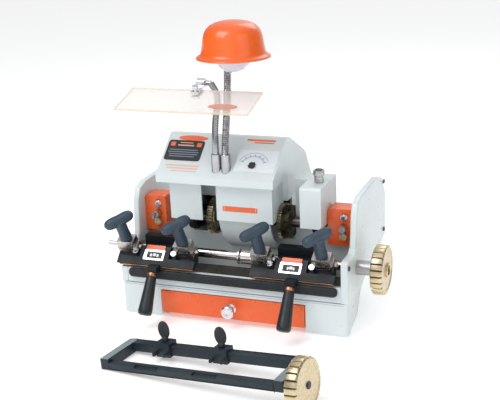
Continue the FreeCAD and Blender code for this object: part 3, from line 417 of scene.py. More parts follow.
def tube_into(bm, points, radius_at, sides):
    """A tube along points; its radius is a function of the length run so far."""
    run, side, rings = 0.0, None, []
    for k, point in enumerate(points):
        ahead = points[min(k + 1, len(points) - 1)] - points[max(k - 1, 0)]
        ahead.normalize()
        side = ahead.orthogonal() if side is None else side - ahead * side.dot(ahead)
        side.normalize()
        other = ahead.cross(side)
        if k:
            run += (point - points[k - 1]).length
        radius = radius_at(run)
        rings.append([bm.verts.new(point + (side * math.cos(2 * math.pi * n / sides)
                                            + other * math.sin(2 * math.pi * n / sides))
                                   * radius) for n in range(sides)])
    loft_into(bm, rings)


def smooth_path(points, steps=12):
    """Points along a Catmull-Rom curve through the given ones."""
    points = [Vector(point) for point in points]
    ends = [points[0] * 2 - points[1]] + points + [points[-1] * 2 - points[-2]]
    path = []
    for a, b, c, d in zip(ends, ends[1:], ends[2:], ends[3:]):
        for step in range(steps):
            t = step / steps
            path.append(0.5 * (2 * b + (c - a) * t + (2 * a - 5 * b + 4 * c - d) * t * t
                               + (3 * b - a - 3 * c + d) * t * t * t))
    return path + [points[-1]]


def fused(piece, voxel, passes=6):
    """Fuse overlapping forms into one moulded skin."""
    remesh = piece.modifiers.new("Fuse", "REMESH")
    remesh.mode, remesh.voxel_size, remesh.use_smooth_shade = "VOXEL", voxel, True
    relax = piece.modifiers.new("Relax", "SMOOTH")
    relax.factor, relax.iterations = 0.5, passes
    return piece


def screw_into(bm, spot, axis, radius, tall, index=0):
    """A socket-head screw: chamfered head with a hexagon recess."""
    lathe_into(bm, [(0, tall * 0.55), (radius * 0.5, tall * 0.55), (radius * 0.52, tall),
                    (radius * 0.86, tall), (radius, tall * 0.86), (radius, 0), (0, 0)],
               Vector(spot), axis, 24, index)


def span_along(node, spot, axis):
    """Lowest and highest reach of a CAD node along an axis from a spot."""
    reach = [(vertex.co - spot).dot(axis) for vertex in nodes[node].data.vertices]
    return min(reach), max(reach)


def radius_about(node, spot, axis):
    """How far out a CAD node reaches from an axis through a spot."""
    return max((vertex.co - spot).cross(axis).length for vertex in nodes[node].data.vertices)


make_camera()
make_light()


# ---- castings --------------------------------------------------------------------------------

def make_castings():
    """Castings, covers and plain metalwork: the CAD shapes with softened edges."""
    for node, width in (("base_shell", 1.6), ("tray_casting", 1.2), ("left_cheek", 2.0),
                        ("right_cheek", 2.0), ("hood", 2.0), ("centre_cover", 1.6),
                        ("cutter_guards", 1.0), ("spindle_bearings", 1.0)):
        soften(node, "machine", "body_paint", width, WHITE)
    soften("tracer_blocks", "machine", "orange_paint", 1.6, ORANGE)
    soften("bumper_bar", "machine", "rubber", 3.4, RUBBER, segments=4)
    soften("rubber_feet", "machine", "rubber", 0.8, RUBBER)
    soften("motor", "machine", "motor_grey", 1.0, MOTOR)
    soften("power_panel", "machine", "black_plastic", 0.8, PLASTIC)
    soften("power_rocker", "power_rocker", "black_plastic", 0.8, PLASTIC)
    soften("bottom_plate", "machine", "steel", 0.3, STEEL)
    make_bushes()
    soften("drive_belt", "machine", "rubber", 0.6, RUBBER)
    soften("motor_rotor", "motor_rotor", "steel", 0.5, STEEL)
    soften("drawer", "drawer", "orange_paint", 1.2, ORANGE)


def make_bushes():
    """Shaft bushes, their inner ends drawn back so that the carriages clear them."""
    drawn_back, near_end = 0.4 * MM, 0.5 * MM
    bushes = copy_of("shaft_bushes", "shaft_bushes_finish", STEEL)
    inner_end = min(abs(vertex.co.x) for vertex in bushes.data.vertices)
    for vertex in bushes.data.vertices:
        if abs(vertex.co.x) < inner_end + near_end:
            vertex.co.x += math.copysign(drawn_back, vertex.co.x)
    finish_piece(bevelled(bushes, 0.6 * MM, 2), "machine", "steel", "shaft_bushes")


def make_tray_liner():
    """Oily sheet in the chip tray with a scatter of fine brass chips."""
    low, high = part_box("tray_casting")
    shaft, _ = joint_spot("feed_wheel_turn")
    front, back = low.y + 9 * MM, shaft.y + 38 * MM
    floor, thick, chips = 65.4 * MM, 0.6 * MM, 150
    bm = bmesh.new()
    box_into(bm, Vector((0, (front + back) / 2, floor)),
             (high.x - low.x - 8 * MM, back - front, thick))
    for k in range(chips):
        a, b = scatter(k * 12.9898 + 3.1), scatter(k * 39.3467 + 1.7, 24634.6345)
        spot = Vector((low.x + (high.x - low.x) * (0.1 + 0.8 * a),
                       front + (back - front) * (0.1 + 0.8 * b), floor + 0.5 * MM))
        box_into(bm, spot, (1.8 * MM, 0.5 * MM, 0.4 * MM), Matrix.Rotation(a * 40, 3, "Z"), 1)
    finish_piece(add_mesh("tray_liner", bm, OILED, BRASS), "machine", "steel")


def make_seams():
    """Shadow lines where the upper casting sits on the base."""
    low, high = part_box("base_shell")
    wide, tall = high.x - low.x - 11 * MM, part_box("drawer")[1].z + 9.5 * MM
    bm = bmesh.new()
    for drop, line in ((0, 0.7), (3.2, 0.4)):
        box_into(bm, Vector((0, low.y + 0.1 * MM, tall - drop * MM)),
                 (wide, 0.5 * MM, line * MM))
    finish_piece(add_mesh("seam_lines", bm, INK_GREY), "machine", "body_paint")


def make_cheek_screws():
    """Screws through the cheeks, and the plug on the right arm."""
    left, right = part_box("base_shell")[0].x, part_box("base_shell")[1].x
    low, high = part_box("right_cheek")
    front, back = low.y + 6 * MM, high.y - 14 * MM
    bm = bmesh.new()
    for y, z in ((front, 118 * MM), (back, 196 * MM), (back, 108 * MM)):
        screw_into(bm, Vector((right - 0.2 * MM, y, z)), X, 4 * MM, 2.6 * MM)
        # The left carriage passes the left cheek's front edge, so that cheek has none there.
        if y == back:
            screw_into(bm, Vector((left + 0.2 * MM, y, z)), -X, 4 * MM, 2.6 * MM)
    finish_piece(add_mesh("cheek_screws", bm, DARK_STEEL), "machine", "steel")
    bm = bmesh.new()
    arm_top, arm_middle = 129 * MM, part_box("base_shell")[0].y + 59 * MM
    lathe_into(bm, mm((4.4, 0), (4.4, 3.4), (3.6, 4.2), (0, 4.2)),
               Vector((right - 5.5 * MM, arm_middle, arm_top)), Z)
    finish_piece(add_mesh("arm_plug", bm, PLASTIC), "machine", "black_plastic")


# ---- hood prints, gauge and dial -------------------------------------------------------------

DIAL_UP, GAUGE_THICK = 28 * MM, 1.2 * MM
DIAL_SPOT, SLOPE_NORMAL = joint_spot("dial_turn")
SLOPE_UP = SLOPE_NORMAL.cross(-X).normalized()
if SLOPE_UP.z < 0:
    SLOPE_UP = -SLOPE_UP
SLOPE_TURN = Matrix((X, SLOPE_UP, X.cross(SLOPE_UP))).transposed()
LIP = DIAL_SPOT - SLOPE_UP * DIAL_UP - SLOPE_NORMAL * GAUGE_THICK
LIP.x = 0


def on_slope(x, up, proud=0.0):
    """A point of the hood's slope from its lip, in millimetres."""
    return LIP + (X * x + SLOPE_UP * up + SLOPE_NORMAL * proud) * MM


def make_hood_label():
    """Black label with two orange corners and rows of rules, without lettering."""
    bm = bmesh.new()
    plate_into(bm, 66, 42, 5, on_slope(-101, 53, 0.1), SLOPE_TURN, 0.3)
    for x in (-125, -77):
        plate_into(bm, 8.5, 8.5, 1, on_slope(x, 65.5, 0.35), SLOPE_TURN, 0.15, 1)
    for x, up, wide, tall, ink in ((-101, 69, 24, 1.6, 3), (-101, 63.5, 30, 2.6, 3),
                                   (-103, 54, 52, 1.8, 2), (-102, 49.5, 56, 1.8, 2),
                                   (-101, 45, 52, 1.8, 2), (-103, 40.5, 46, 1.8, 2)):
        plate_into(bm, wide, tall, 0.7, on_slope(x, up, 0.35), SLOPE_TURN, 0.15, ink)
    label = add_mesh("hood_label", bm, INK_BLACK, INK_ORANGE, INK_GREY, INK_PALE)
    finish_piece(label, "machine", "black_plastic")


def make_prints():
    """Pale rules, orange emblem and bars on the hood, and the bar on the centre cover."""
    bm = bmesh.new()
    for x, up, wide, tall in ((-96, 22, 62, 2.0), (-94, 16.5, 56, 2.0), (-90, 11, 46, 1.6)):
        plate_into(bm, wide, tall, 0.8, on_slope(x, up, 0.1), SLOPE_TURN, 0.15)
    finish_piece(add_mesh("hood_rules", bm, INK_PALE), "machine", "orange_paint")
    bm = bmesh.new()
    outline_into(bm, oval(54 * MM, 11 * MM), on_slope(-92, 79.5, 0.1), SLOPE_TURN, 0.2 * MM)
    plate_into(bm, 50, 3.4, 1, on_slope(30, 82, 0.1), SLOPE_TURN, 0.2)
    plate_into(bm, 34, 2.2, 0.8, on_slope(36, 77, 0.1), SLOPE_TURN, 0.2)
    finish_piece(add_mesh("hood_marks", bm, INK_ORANGE), "machine", "orange_paint")
    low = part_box("centre_cover")[0]
    upright, level = Matrix((X, Z, X.cross(Z))).transposed(), 189 * MM
    bm = bmesh.new()
    plate_into(bm, 62, 9, 2, Vector((low.x + 42 * MM, low.y - 0.1 * MM, level)), upright, 0.2)
    for x in (14, 70):
        plate_into(bm, 1.6, 9, 0.6, Vector((low.x + x * MM, low.y - 0.3 * MM, level)), upright,
                   0.1, 1)
    finish_piece(add_mesh("cover_mark", bm, INK_ORANGE, INK_PALE), "machine", "orange_paint")


def make_gauge():
    """Enamelled scale plate with an arc of ticks inside an arc of dashes."""
    soften("gauge_plate", "machine", "gauge_white", 0.4, PLATE)
    ticks, dashes, tick_foot, dash_reach = 24, 40, 19, 27
    bm = bmesh.new()

    def mark(angle, reach, long, wide, turned):
        spot = (DIAL_SPOT + (X * math.cos(angle) + SLOPE_UP * math.sin(angle)) * reach * MM
                + SLOPE_NORMAL * 0.02 * MM)
        box_into(bm, spot, (long * MM, wide * MM, 0.3 * MM),
                 SLOPE_TURN @ Matrix.Rotation(angle + turned, 3, "Z"))
    for k in range(ticks + 1):
        long, wide = (5.2, 1.0) if k % 4 == 0 else (3.0, 0.55)
        mark(math.radians(25 + 130 * k / ticks), tick_foot + long / 2, long, wide, 0)
    for k in range(dashes):
        mark(math.radians(22 + 136 * (k + 0.5) / dashes), dash_reach, 1.6, 0.5, math.pi / 2)
    finish_piece(add_mesh("gauge_ticks", bm, TICK_BLUE), "machine", "gauge_white")


def make_dial():
    """Pointer knob: a white skirt, a black barrel and a grip bar across it."""
    low, high = span_along("dial_knob", DIAL_SPOT, SLOPE_NORMAL)
    tall, foot = high - low, DIAL_SPOT + SLOPE_NORMAL * low
    bm = bmesh.new()
    lathe_into(bm, mm((0, 0), (9.6, 0), (9.8, 0.5), (8.2, 1.5), (0, 1.5)), foot, SLOPE_NORMAL,
               48, 1)
    lathe_into(bm, [(0, 1.4 * MM), (5 * MM, 1.4 * MM), (4.4 * MM, tall * 0.75),
                    (3.8 * MM, tall * 0.8), (0, tall * 0.8)], foot, SLOPE_NORMAL, 32)
    box_into(bm, DIAL_SPOT + SLOPE_NORMAL * (low + tall * 0.5), (2.4 * MM, 13 * MM, tall * 0.55),
             SLOPE_TURN @ Matrix.Rotation(-0.9, 3, "Z"))
    knob = bevelled(add_mesh("dial_knob_finish", bm, PLASTIC, INK_WHITE), 0.4 * MM, 2)
    finish_piece(knob, "dial_knob", "black_plastic", "dial_knob")


# ---- lamp and shield -------------------------------------------------------------------------

def make_shade():
    """Flared orange shade, pale inside."""
    low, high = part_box("lamp_shade")
    centre = Vector(((low.x + high.x) / 2, (low.y + high.y) / 2, low.z))
    radius, tall, wall = (high.x - low.x) / 2, high.z - low.z, 1.6 * MM
    rise = [(1.0, 0.0), (1.002, 0.02), (0.985, 0.045), (0.93, 0.075), (0.885, 0.115),
            (0.862, 0.17), (0.845, 0.26), (0.822, 0.40), (0.798, 0.55), (0.765, 0.67),
            (0.705, 0.78), (0.61, 0.87), (0.48, 0.935), (0.30, 0.98), (0.12, 0.998), (0, 1.0)]
    outer = [(r * radius, h * tall) for r, h in rise]
    inner = [(max(r - wall, 0), max(h - wall, 0.7 * MM)) for r, h in outer[::-1]]
    bm = lathe_into(bmesh.new(), outer + inner + [outer[0]], centre, Z, 96)
    for face in bm.faces:
        middle = face.calc_center_median() - centre
        inside = Vector((middle.x, middle.y)).length < 0.78 * radius and middle.z < 0.5 * tall
        face.material_index = 1 if inside else 0
    shade = add_mesh("lamp_shade_finish", bm, GLOSS, PALE, sharp=50)
    finish_piece(shade, "lamp", "orange_paint", "lamp_shade")


def bulb_heart():
    """Centre and radius of the globe."""
    low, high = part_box("lamp_bulb")
    globe = (high.x - low.x) / 2
    return Vector(((low.x + high.x) / 2, (low.y + high.y) / 2, low.z + globe)), globe


def make_bulb():
    """Opal globe with its screw cap."""
    heart, globe = bulb_heart()
    cap_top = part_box("lamp_bulb")[1].z - heart.z
    arc = [(globe * math.sin(math.pi * k / 24), -globe * math.cos(math.pi * k / 24))
           for k in range(20)]
    cap = [(13.4 * MM, globe * 0.9), (13 * MM, cap_top), (0, cap_top)]
    bulb = lathe("lamp_bulb_finish", arc + cap, heart, Z, OPAL, steps=64)
    finish_piece(bulb, "lamp", "bulb_glass", "lamp_bulb")


def make_neck():
    """Ribbed flexible neck up to the lampholder."""
    heart, _ = bulb_heart()
    swivel, _ = joint_spot("lamp_swivel")
    low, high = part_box("lamp_stem")
    # Offsets across from the swivel, and heights above the bench.
    route = [(0, 0, low.z), (0, 0, 0.27), (0, 0, 0.292), (0.001, 0.016, 0.370),
             (0.003, 0.020, 0.430), (0.009, 0.014, 0.466), (0.013, 0.009, 0.482)]
    points = [Vector((swivel.x + x, swivel.y + y, z)) for x, y, z in route]
    points.append(Vector((heart.x - 5 * MM, heart.y + 9 * MM, 0.4925)))
    path = smooth_path(points, 60)
    pitch, rib, neck, step = 3.1 * MM, 0.55 * MM, 6.5 * MM, 0.75 * MM
    dense = [path[0]]
    for point in path[1:]:
        while (point - dense[-1]).length > step:
            dense.append(dense[-1] + (point - dense[-1]).normalized() * step)
    bm = bmesh.new()
    tube_into(bm, dense, lambda run: neck - rib + rib * math.cos(2 * math.pi * run / pitch), 28)
    lathe_into(bm, mm((13.2, -19), (16.6, -19), (17, -17.6), (17, -12), (16, -11.4), (16, -4),
                      (13, 0), (0, 0)), Vector((heart.x, heart.y, high.z)), Z)
    finish_piece(add_mesh("lamp_stem_finish", bm, POST), "lamp", "chrome", "lamp_stem")


def make_shield():
    """Bent chrome post with its sockets, ball clamp and the clear panel with amber edges."""
    soften("shield_post", "machine", "chrome", 0.5, POST, angle=40)
    soften("shield_clamp", "shield", "chrome", 2.2, CHROME, segments=4)
    panel = copy_of("shield_panel", "shield_panel_finish", ACRYLIC, EDGE)
    for face in panel.data.polygons:
        face.material_index = 0 if abs(face.normal.z) > 0.7 else 1
    finish_piece(bevelled(panel, 0.6 * MM, 2), "shield", "clear_panel", "shield_panel")
    low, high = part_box("shield_panel")
    tilt = math.radians(16)
    turn = Matrix((X, Vector((0, math.cos(tilt), math.sin(tilt))),
                   Vector((0, -math.sin(tilt), math.cos(tilt))))).transposed()
    middle = Vector((low.x + 0.79 * (high.x - low.x), (low.y + high.y) / 2,
                     (low.z + high.z) / 2)) + turn @ Vector((0, -17 * MM, 2.05 * MM))
    bm = bmesh.new()
    outline_into(bm, oval(50 * MM, 17 * MM), middle, turn, 0.15 * MM)
    outline_into(bm, oval(44 * MM, 12 * MM), middle + turn @ Vector((0, 0, 0.15 * MM)), turn,
                 0.12 * MM, 1)
    finish_piece(add_mesh("panel_mark", bm, STAMP, STAMP_PALE), "shield", "clear_panel")


# ---- drawer knob and hand wheels -------------------------------------------------------------

def make_drawer_knob():
    """Turned and polished drawer knob with a dished face."""
    low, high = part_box("drawer_knob")
    spot = Vector(((low.x + high.x) / 2, high.y, (low.z + high.z) / 2))
    radius, tall = (high.x - low.x) / 2, high.y - low.y
    shape = [(0, 0), (0.72, 0), (0.74, 0.07), (0.5, 0.14), (0.42, 0.3), (0.46, 0.46),
             (0.78, 0.6), (0.98, 0.70), (1.0, 0.80), (0.93, 0.93), (0.8, 0.99), (0.55, 1.0),
             (0.35, 0.975), (0, 0.965)]
    knob = lathe("drawer_knob_finish", [(r * radius, h * tall) for r, h in shape], spot, -Y,
                 CHROME, steps=40)
    finish_piece(knob, "drawer", "chrome", "drawer_knob")


def make_hand_wheel(node, bore):
    """A bored brass wheel: lands between narrow flutes darkened with painted shade, chamfered
    rims and a recessed face.
    """
    spot, axis = joint_spot(node + "_turn")
    turn = axes_of(axis)
    low, high = span_along(node, spot, axis)
    wide, radius = high - low, radius_about(node, spot, axis)
    lands, depth, rim, recess = 24, 2.3 * MM, 3.4 * MM, 0.8 * MM
    web = radius * 0.72
    land = ((0.0, 0), (0.25, 0), (0.5, 0), (0.72, 0), (0.78, 0.75), (0.86, 1.0), (0.94, 0.75))
    around = [(2 * math.pi * (k + share) / lands, drop)
              for k in range(lands) for share, drop in land]
    bm = bmesh.new()
    foot = spot + axis * low

    def ring(reach, height, flute):
        return ring_into(bm, [((reach - drop * flute) * math.cos(angle),
                               (reach - drop * flute) * math.sin(angle), height)
                              for angle, drop in around], foot, turn)
    rings = [ring(radius - inset, height, depth if inset < 2 * MM else 0)
             for inset, height in ((web, 0), (rim, 0), (0.6 * MM, 1.6 * MM), (0, 3 * MM),
                                   (0, wide - 3 * MM), (0.6 * MM, wide - 1.6 * MM),
                                   (rim, wide), (6.5 * MM, wide), (7.5 * MM, wide - recess),
                                   (web, wide - recess))]
    loft_into(bm, rings, capped=False)
    bm.faces.ensure_lookup_table()
    count = len(around)
    for k, face in enumerate(bm.faces):
        middle = face.calc_center_median() - spot
        outside = (middle - axis * middle.dot(axis)).length > radius - rim
        # Faces in the outer flutes take the dark brass: painted shade in the grooves.
        in_flute = around[k % count][1] + around[(k + 1) % count][1] > 1.4
        face.material_index = 1 if outside and in_flute else 0
    hole = [ring(bore, height, 0) for height in (0, wide - recess)]
    for near, far in ((hole[0], rings[0]), (rings[-1], hole[1]), (hole[1], hole[0])):
        loft_into(bm, (near, far), capped=False)
    wheel = add_mesh(node + "_finish", bm, BRASS, GROOVE_SHADE, sharp=24)
    finish_piece(wheel, node, "brass", node)
    return spot + axis * high, axis


def make_feed_wheel():
    """Feed wheel on the right; the shaft's thread comes out through its centre nut."""
    face, axis = make_hand_wheel("feed_wheel", 8.2 * MM)
    bm = bmesh.new()
    lathe_into(bm, mm((8.2, -1.2), (12, -1.2), (12, 1.4), (11, 2.6), (9, 2.6), (8.2, 1.8),
                      (8.2, -1.2)), face, axis, 40)
    finish_piece(add_mesh("feed_wheel_nut", bm, BRASS), "feed_wheel", "brass")


# ---- shaft and spindle -----------------------------------------------------------------------

def make_shaft():
    """Bright cross shaft with its black-ringed centre sleeve."""
    for node in ("cross_shaft", "shaft_collars"):
        soften(node, "cross_slide", "chrome", 0.6, ROD, angle=40)


def toothed_into(bm, centre, radius, wide, teeth):
    """A slitting cutter: ground sides, a relieved web and raked teeth."""
    tooth = ((0.0, 0.93), (0.12, 1.0), (0.62, 0.985), (0.8, 0.93))
    around = [(2 * math.pi * (k + share) / teeth, reach)
              for k in range(teeth) for share, reach in tooth]
    half = ((1, 0.3), (1, 0.62), (0.55, 0.66), (0.55, 0.82), (1, 0.86), (1, 1.0))
    sides = [(-side, scale) for side, scale in half] + list(half[::-1])
    loft_into(bm, [ring_into(bm, [(
        side * wide / 2,
        radius * scale * (reach if scale == 1.0 else 1) * math.cos(angle),
        radius * scale * (reach if scale == 1.0 else 1) * math.sin(angle))
        for angle, reach in around], centre, Matrix.Identity(3)) for side, scale in sides])


def make_spindle():
    """Spindle, the left cutter with its nut, the right cutter and the wire brush."""
    spot, axis = joint_spot("spindle_turn")
    soften("spindle_shaft", "spindle", "steel", 0.6, DARK_STEEL, angle=40)
    low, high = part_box("cutters")
    radius, wide, narrow, brush = (high.z - low.z) / 2, 10 * MM, 6 * MM, 29 * MM
    (left, left_end), (right, right_end) = cutter_spans()

    def at(x):
        return Vector((x, spot.y, spot.z))
    bm = bmesh.new()
    toothed_into(bm, at(left_end - wide / 2), radius, wide, 44)
    lathe_into(bm, mm((15, 0), (15, 7), (13.4, 9), (9, 10), (0, 10)), at(left + 10 * MM), -axis,
               6, 1)
    toothed_into(bm, at(right + narrow / 2), radius, narrow, 36)
    brush_into(bm, at(right + narrow), right_end - right - narrow, brush)
    finish_piece(add_mesh("cutters_finish", bm, CUTTER, DARK_STEEL, BRISTLE), "spindle",
                 "cutter_steel", "cutters")


def brush_into(bm, spot, wide, radius):
    """A wire wheel: a hub between two flanges and rows of slightly splayed bristles."""
    for start in (0, wide - 2 * MM):
        lathe_into(bm, [(0, start), (14 * MM, start), (14 * MM, start + 2 * MM),
                        (0, start + 2 * MM)], spot, X, 32, 1)
    rows, count, inner = 7, 72, 10 * MM
    for row in range(rows):
        for k in range(count):
            wobble = scatter(12.9898 * (k + 1) + 78.233 * (row + 1))
            angle = 2 * math.pi * (k + wobble) / count
            out = Vector((0, math.cos(angle), math.sin(angle)))
            reach = radius - (0.2 + 1.6 * wobble) * MM
            centre = spot + X * wide * (row + 0.5) / rows + out * (inner + reach) / 2
            box_into(bm, centre, (1.1 * MM, reach - inner, 0.9 * MM),
                     Matrix((X, out, X.cross(out))).transposed(), 2)


def cutter_spans():
    """The x ranges of the separate cutters, from the CAD node's vertices."""
    places = sorted(vertex.co.x for vertex in nodes["cutters"].data.vertices)
    spans, start = [], places[0]
    for before, after in zip(places, places[1:]):
        if after - before > 30 * MM:
            spans.append((start, before))
            start = after
    return spans + [(start, places[-1])]


def make_tracers():
    """Key tracers, their thumb adjusters and clamp screws, and the spindle lock."""
    for side in ("left", "right"):
        soften("tracer_" + side, "tracer_" + side, "steel", 0.5, STEEL)
        make_adjuster("adjuster_" + side)
    soften("tracer_clamp_screws", "machine", "chrome", 0.5, CHROME)
    soften("lock_plunger", "lock_plunger", "steel", 0.8, STEEL, angle=40)
    low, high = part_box("lock_plunger")
    bm = bmesh.new()
    lathe_into(bm, mm((0, -0.2), (6.2, -0.2), (5.6, 1.4), (3, 2), (0, 2.1)),
               Vector(((low.x + high.x) / 2, (low.y + high.y) / 2, high.z)), Z, 32)
    finish_piece(add_mesh("lock_button", bm, DARK_STEEL), "lock_plunger", "steel")


def make_adjuster(node):
    """A straight-knurled brass thumb screw with its shank."""
    spot, axis = joint_spot(node + "_turn")
    low, high = span_along(node, spot, axis)
    radius = radius_about(node, spot, axis)
    tall, chamfer, groove, ridges, shank = min(high - low, 9 * MM), 0.9 * MM, 0.5 * MM, 28, 3 * MM
    bm = bmesh.new()
    rings = []
    for inset, height in ((chamfer, -tall), (0, -tall + chamfer), (0, -chamfer), (chamfer, 0)):
        reaches = [radius - inset - (groove if k % 2 else 0) for k in range(ridges * 2)]
        rings.append(ring_into(bm, [(reach * math.cos(math.pi * k / ridges),
                                     reach * math.sin(math.pi * k / ridges), high + height)
                                    for k, reach in enumerate(reaches)], spot, axes_of(axis)))
    loft_into(bm, rings)
    if high - low > tall + 0.5 * MM:
        lathe_into(bm, [(0, low), (shank, low), (shank, high - tall), (0, high - tall)], spot,
                   axis, 20)
    finish_piece(add_mesh(node + "_finish", bm, BRASS, sharp=20), node, "brass", node)


# ---- carriages -------------------------------------------------------------------------------

CLAMP_LEAN, APRON_LEAN, GRIP_LEAN = map(math.radians, (29, 45, 33))
CLAMP_BACK = Vector((0, math.cos(CLAMP_LEAN), math.sin(CLAMP_LEAN)))
CLAMP_UP = Vector((0, -math.sin(CLAMP_LEAN), math.cos(CLAMP_LEAN)))
CLAMP_TURN = Matrix((X, CLAMP_BACK, CLAMP_UP)).transposed()
APRON_UP = Vector((0, math.cos(APRON_LEAN), math.sin(APRON_LEAN)))
APRON_OUT = Vector((0, -math.sin(APRON_LEAN), math.cos(APRON_LEAN)))
APRON_TURN = Matrix((X, APRON_UP, APRON_OUT)).transposed()


def wing_turn(node, spot, axis):
    """The rotation whose X runs along the CAD knob's wing, and the wing's half length."""
    verts = nodes[node].data.vertices
    half, farthest = max(((vertex.co - spot).cross(axis).length, k)
                         for k, vertex in enumerate(verts))
    corner, thickest = math.atan2(9, 26), 12 * MM
    # The farthest vertex is a corner of the wing, to one side or the other of its middle line.
    for side in (corner, -corner):
        turn = axes_of(axis, Matrix.Rotation(side, 3, axis) @ (verts[farthest].co - spot))
        if max(abs((vertex.co - spot).dot(turn @ Y)) for vertex in verts) < thickest:
            break
    return turn, half


def rounded(angle, power=0.8):
    """Cosine and sine of an angle, flattened towards a rounded square."""
    return [math.copysign(abs(part) ** power, part) for part in (math.cos(angle),
                                                                 math.sin(angle))]


def make_knob(name):
    """Moulded T knob: a fan-shaped wing with scalloped sides on a waisted stem."""
    node = "knob_" + name
    spot, axis = joint_spot(node + "_turn")
    low, high = span_along(node, spot, axis)
    turn, half = wing_turn(node, spot, axis)
    top, base = high - low, spot + axis * low
    wing_low, wing_mid = top - 21 * MM, top - 10.4 * MM
    thick, tall, sections, sides = 9.4 * MM, 10.6 * MM, 24, 28
    bm = bmesh.new()
    lathe_into(bm, mm((0, 0), (9.4, 0), (10.4, 1.6), (10.3, 8), (9.6, 18))
               + [(9.8 * MM, wing_low), (10.4 * MM, wing_mid), (0, wing_mid)], base, axis, 40)
    rings = []
    for k in range(sections + 1):
        share = -1 + 2 * k / sections
        out = abs(share)
        bulge = math.sqrt(max(1 - out ** 3.2, 0))
        deep = thick * (0.86 + 0.26 * out ** 1.4) * bulge
        rise = tall * (0.9 + 0.14 * out) * bulge
        ring = []
        for n in range(sides):
            across, up = rounded(2 * math.pi * n / sides)
            ring.append((share * (half - 0.6 * MM), deep * across,
                         wing_mid + 0.4 * MM * out + rise * up))
        rings.append(ring_into(bm, ring, base, turn))
    loft_into(bm, rings)
    knob = fused(add_mesh(node + "_finish", bm, KNOB), 0.8 * MM, 5)
    finish_piece(knob, node, "knob_plastic", node)


def clamp_dress_into(bm, centre_x, home):
    """Small parts on one clamp: key slot, hinge pin and side screw."""
    def at(x, back, up):
        return home + X * (centre_x + x) * MM + CLAMP_BACK * back * MM + CLAMP_UP * up * MM
    for up, tall in ((9.2, 1.6), (3.2, 0.8)):
        box_into(bm, at(0, -10.15, up), (30 * MM, 0.5 * MM, tall * MM), CLAMP_TURN, 1)
    lathe_into(bm, mm((0, 0), (3.6, 0), (3.6, 1.8), (2.9, 2.6), (0, 2.6)), at(-17, -4, 6), -X, 24)
    screw_into(bm, at(11.5, -10, 6), -CLAMP_BACK, 2.2 * MM, 1.6 * MM, 1)


def make_carriage(side):
    """One carriage: casting, jaws, knobs, small clamp parts, apron and grip."""
    body = "carriage_" + side
    home, _ = joint_spot(body + "_rock")
    soften(body, body, "black_cast", 1.4, BLACK)
    soften("lower_jaws_" + side, body, "chrome", 0.7, JAW)
    for place in ("outer", "inner"):
        clamp = "%s_%s" % (side, place)
        soften("upper_jaw_" + clamp, "jaw_" + clamp, "chrome", 1.4, JAW)
        make_knob(clamp)
    bm = bmesh.new()
    for centre_x in (-61, 44):
        clamp_dress_into(bm, centre_x, home + (Y * -33 + Z * 8.7) * MM)
    finish_piece(add_mesh("clamp_dress_" + side, bm, CHROME, DARK_STEEL), body, "chrome")
    make_apron(side, body, home + (Y * -65 + Z * -6) * MM)
    make_grip(side, body)


def make_apron(side, body, surface):
    """What the sloped apron carries: label, orange strip, copper edge line and two screws."""
    def at(x, up, proud=0.0):
        return surface + X * x * MM + APRON_UP * up * MM + APRON_OUT * proud * MM
    bm = bmesh.new()
    plate_into(bm, 37, 19, 1.5, at(-7, 19), APRON_TURN, 1.6, 0)
    plate_into(bm, 28, 12, 1, at(-6, 18.6, 1.5), APRON_TURN, 0.4, 1)
    plate_into(bm, 34, 8, 1, at(-7, 33), APRON_TURN, 1.2, 3)
    marks = {"left": ((-12, 18, 4), (-6, 19, 5), (0, 18, 4)),
             "right": ((-11, 18, 3), (-6, 19, 6), (-1, 18, 3))}
    for x, up, wide in marks[side]:
        plate_into(bm, wide, 5, 1, at(x, up, 1.85), APRON_TURN, 0.2, 2)
    label = add_mesh("label_plate_" + side, bm, CHROME, INK_BLACK, INK_WHITE, ORANGE)
    finish_piece(label, body, "chrome")
    bm = bmesh.new()
    box_into(bm, at(0, -0.6, -4.4), (137 * MM, 1.4 * MM, 3.2 * MM), APRON_TURN)
    edge = bevelled(add_mesh("apron_edge_" + side, bm, COPPER), 0.4 * MM, 2)
    finish_piece(edge, body, "chrome")
    bm = bmesh.new()
    for x in (-43, 28):
        lathe_into(bm, mm((0, 0), (5.4, 0), (5.4, 2.2), (4.6, 3.2), (2.4, 3.2), (2.2, 1.6),
                          (0, 1.6)), at(x, 24), APRON_OUT, 28)
    finish_piece(add_mesh("apron_screws_" + side, bm, CHROME), body, "chrome")


def make_grip(side, body):
    """Tapered moulded grip with a rounded end and a copper ferrule."""
    node = "grip_" + side
    low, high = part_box(node)
    verts = [vertex.co for vertex in nodes[node].data.vertices]
    axis = Vector((0, -math.sin(GRIP_LEAN), -math.cos(GRIP_LEAN)))
    across = axis.cross(X).normalized()
    middle = (min(v.dot(across) for v in verts) + max(v.dot(across) for v in verts)) / 2
    start, end = min(v.dot(axis) for v in verts), max(v.dot(axis) for v in verts)
    spot = X * (low.x + high.x) / 2 + across * middle + axis * start
    widest = max((v - spot).cross(axis).length for v in verts)
    shape = ((0, 6), (7.4, 6), (8.2, 7.2), (8.7, 12), (9.4, 24), (10.2, 38), (11.0, 52),
             (11.7, 63), (12.0, 69), (11.6, 72.6), (10.2, 75), (7.5, 75.9), (0, 76))
    shape_radius, shape_long = 12, 76
    profile = [(min(r * widest / shape_radius, shape_radius * MM),
                h * (end - start) / shape_long) for r, h in shape]
    grip = lathe(node + "_finish", profile, spot, axis, GRIP, steps=40)
    finish_piece(grip, body, "black_plastic", node)
    bm = bmesh.new()
    lathe_into(bm, mm((0, -0.5), (5.4, -0.5), (7.6, 0.8), (8.2, 3), (7.8, 6.4), (0, 6.4)), spot,
               axis, 36)
    finish_piece(add_mesh("grip_ferrule_" + side, bm, COPPER), body, "chrome")


# ---- long-key clamp --------------------------------------------------------------------------

CLAMP_SLIDE = Vector(joints["slider_one_slide"]["axis"]).normalized()


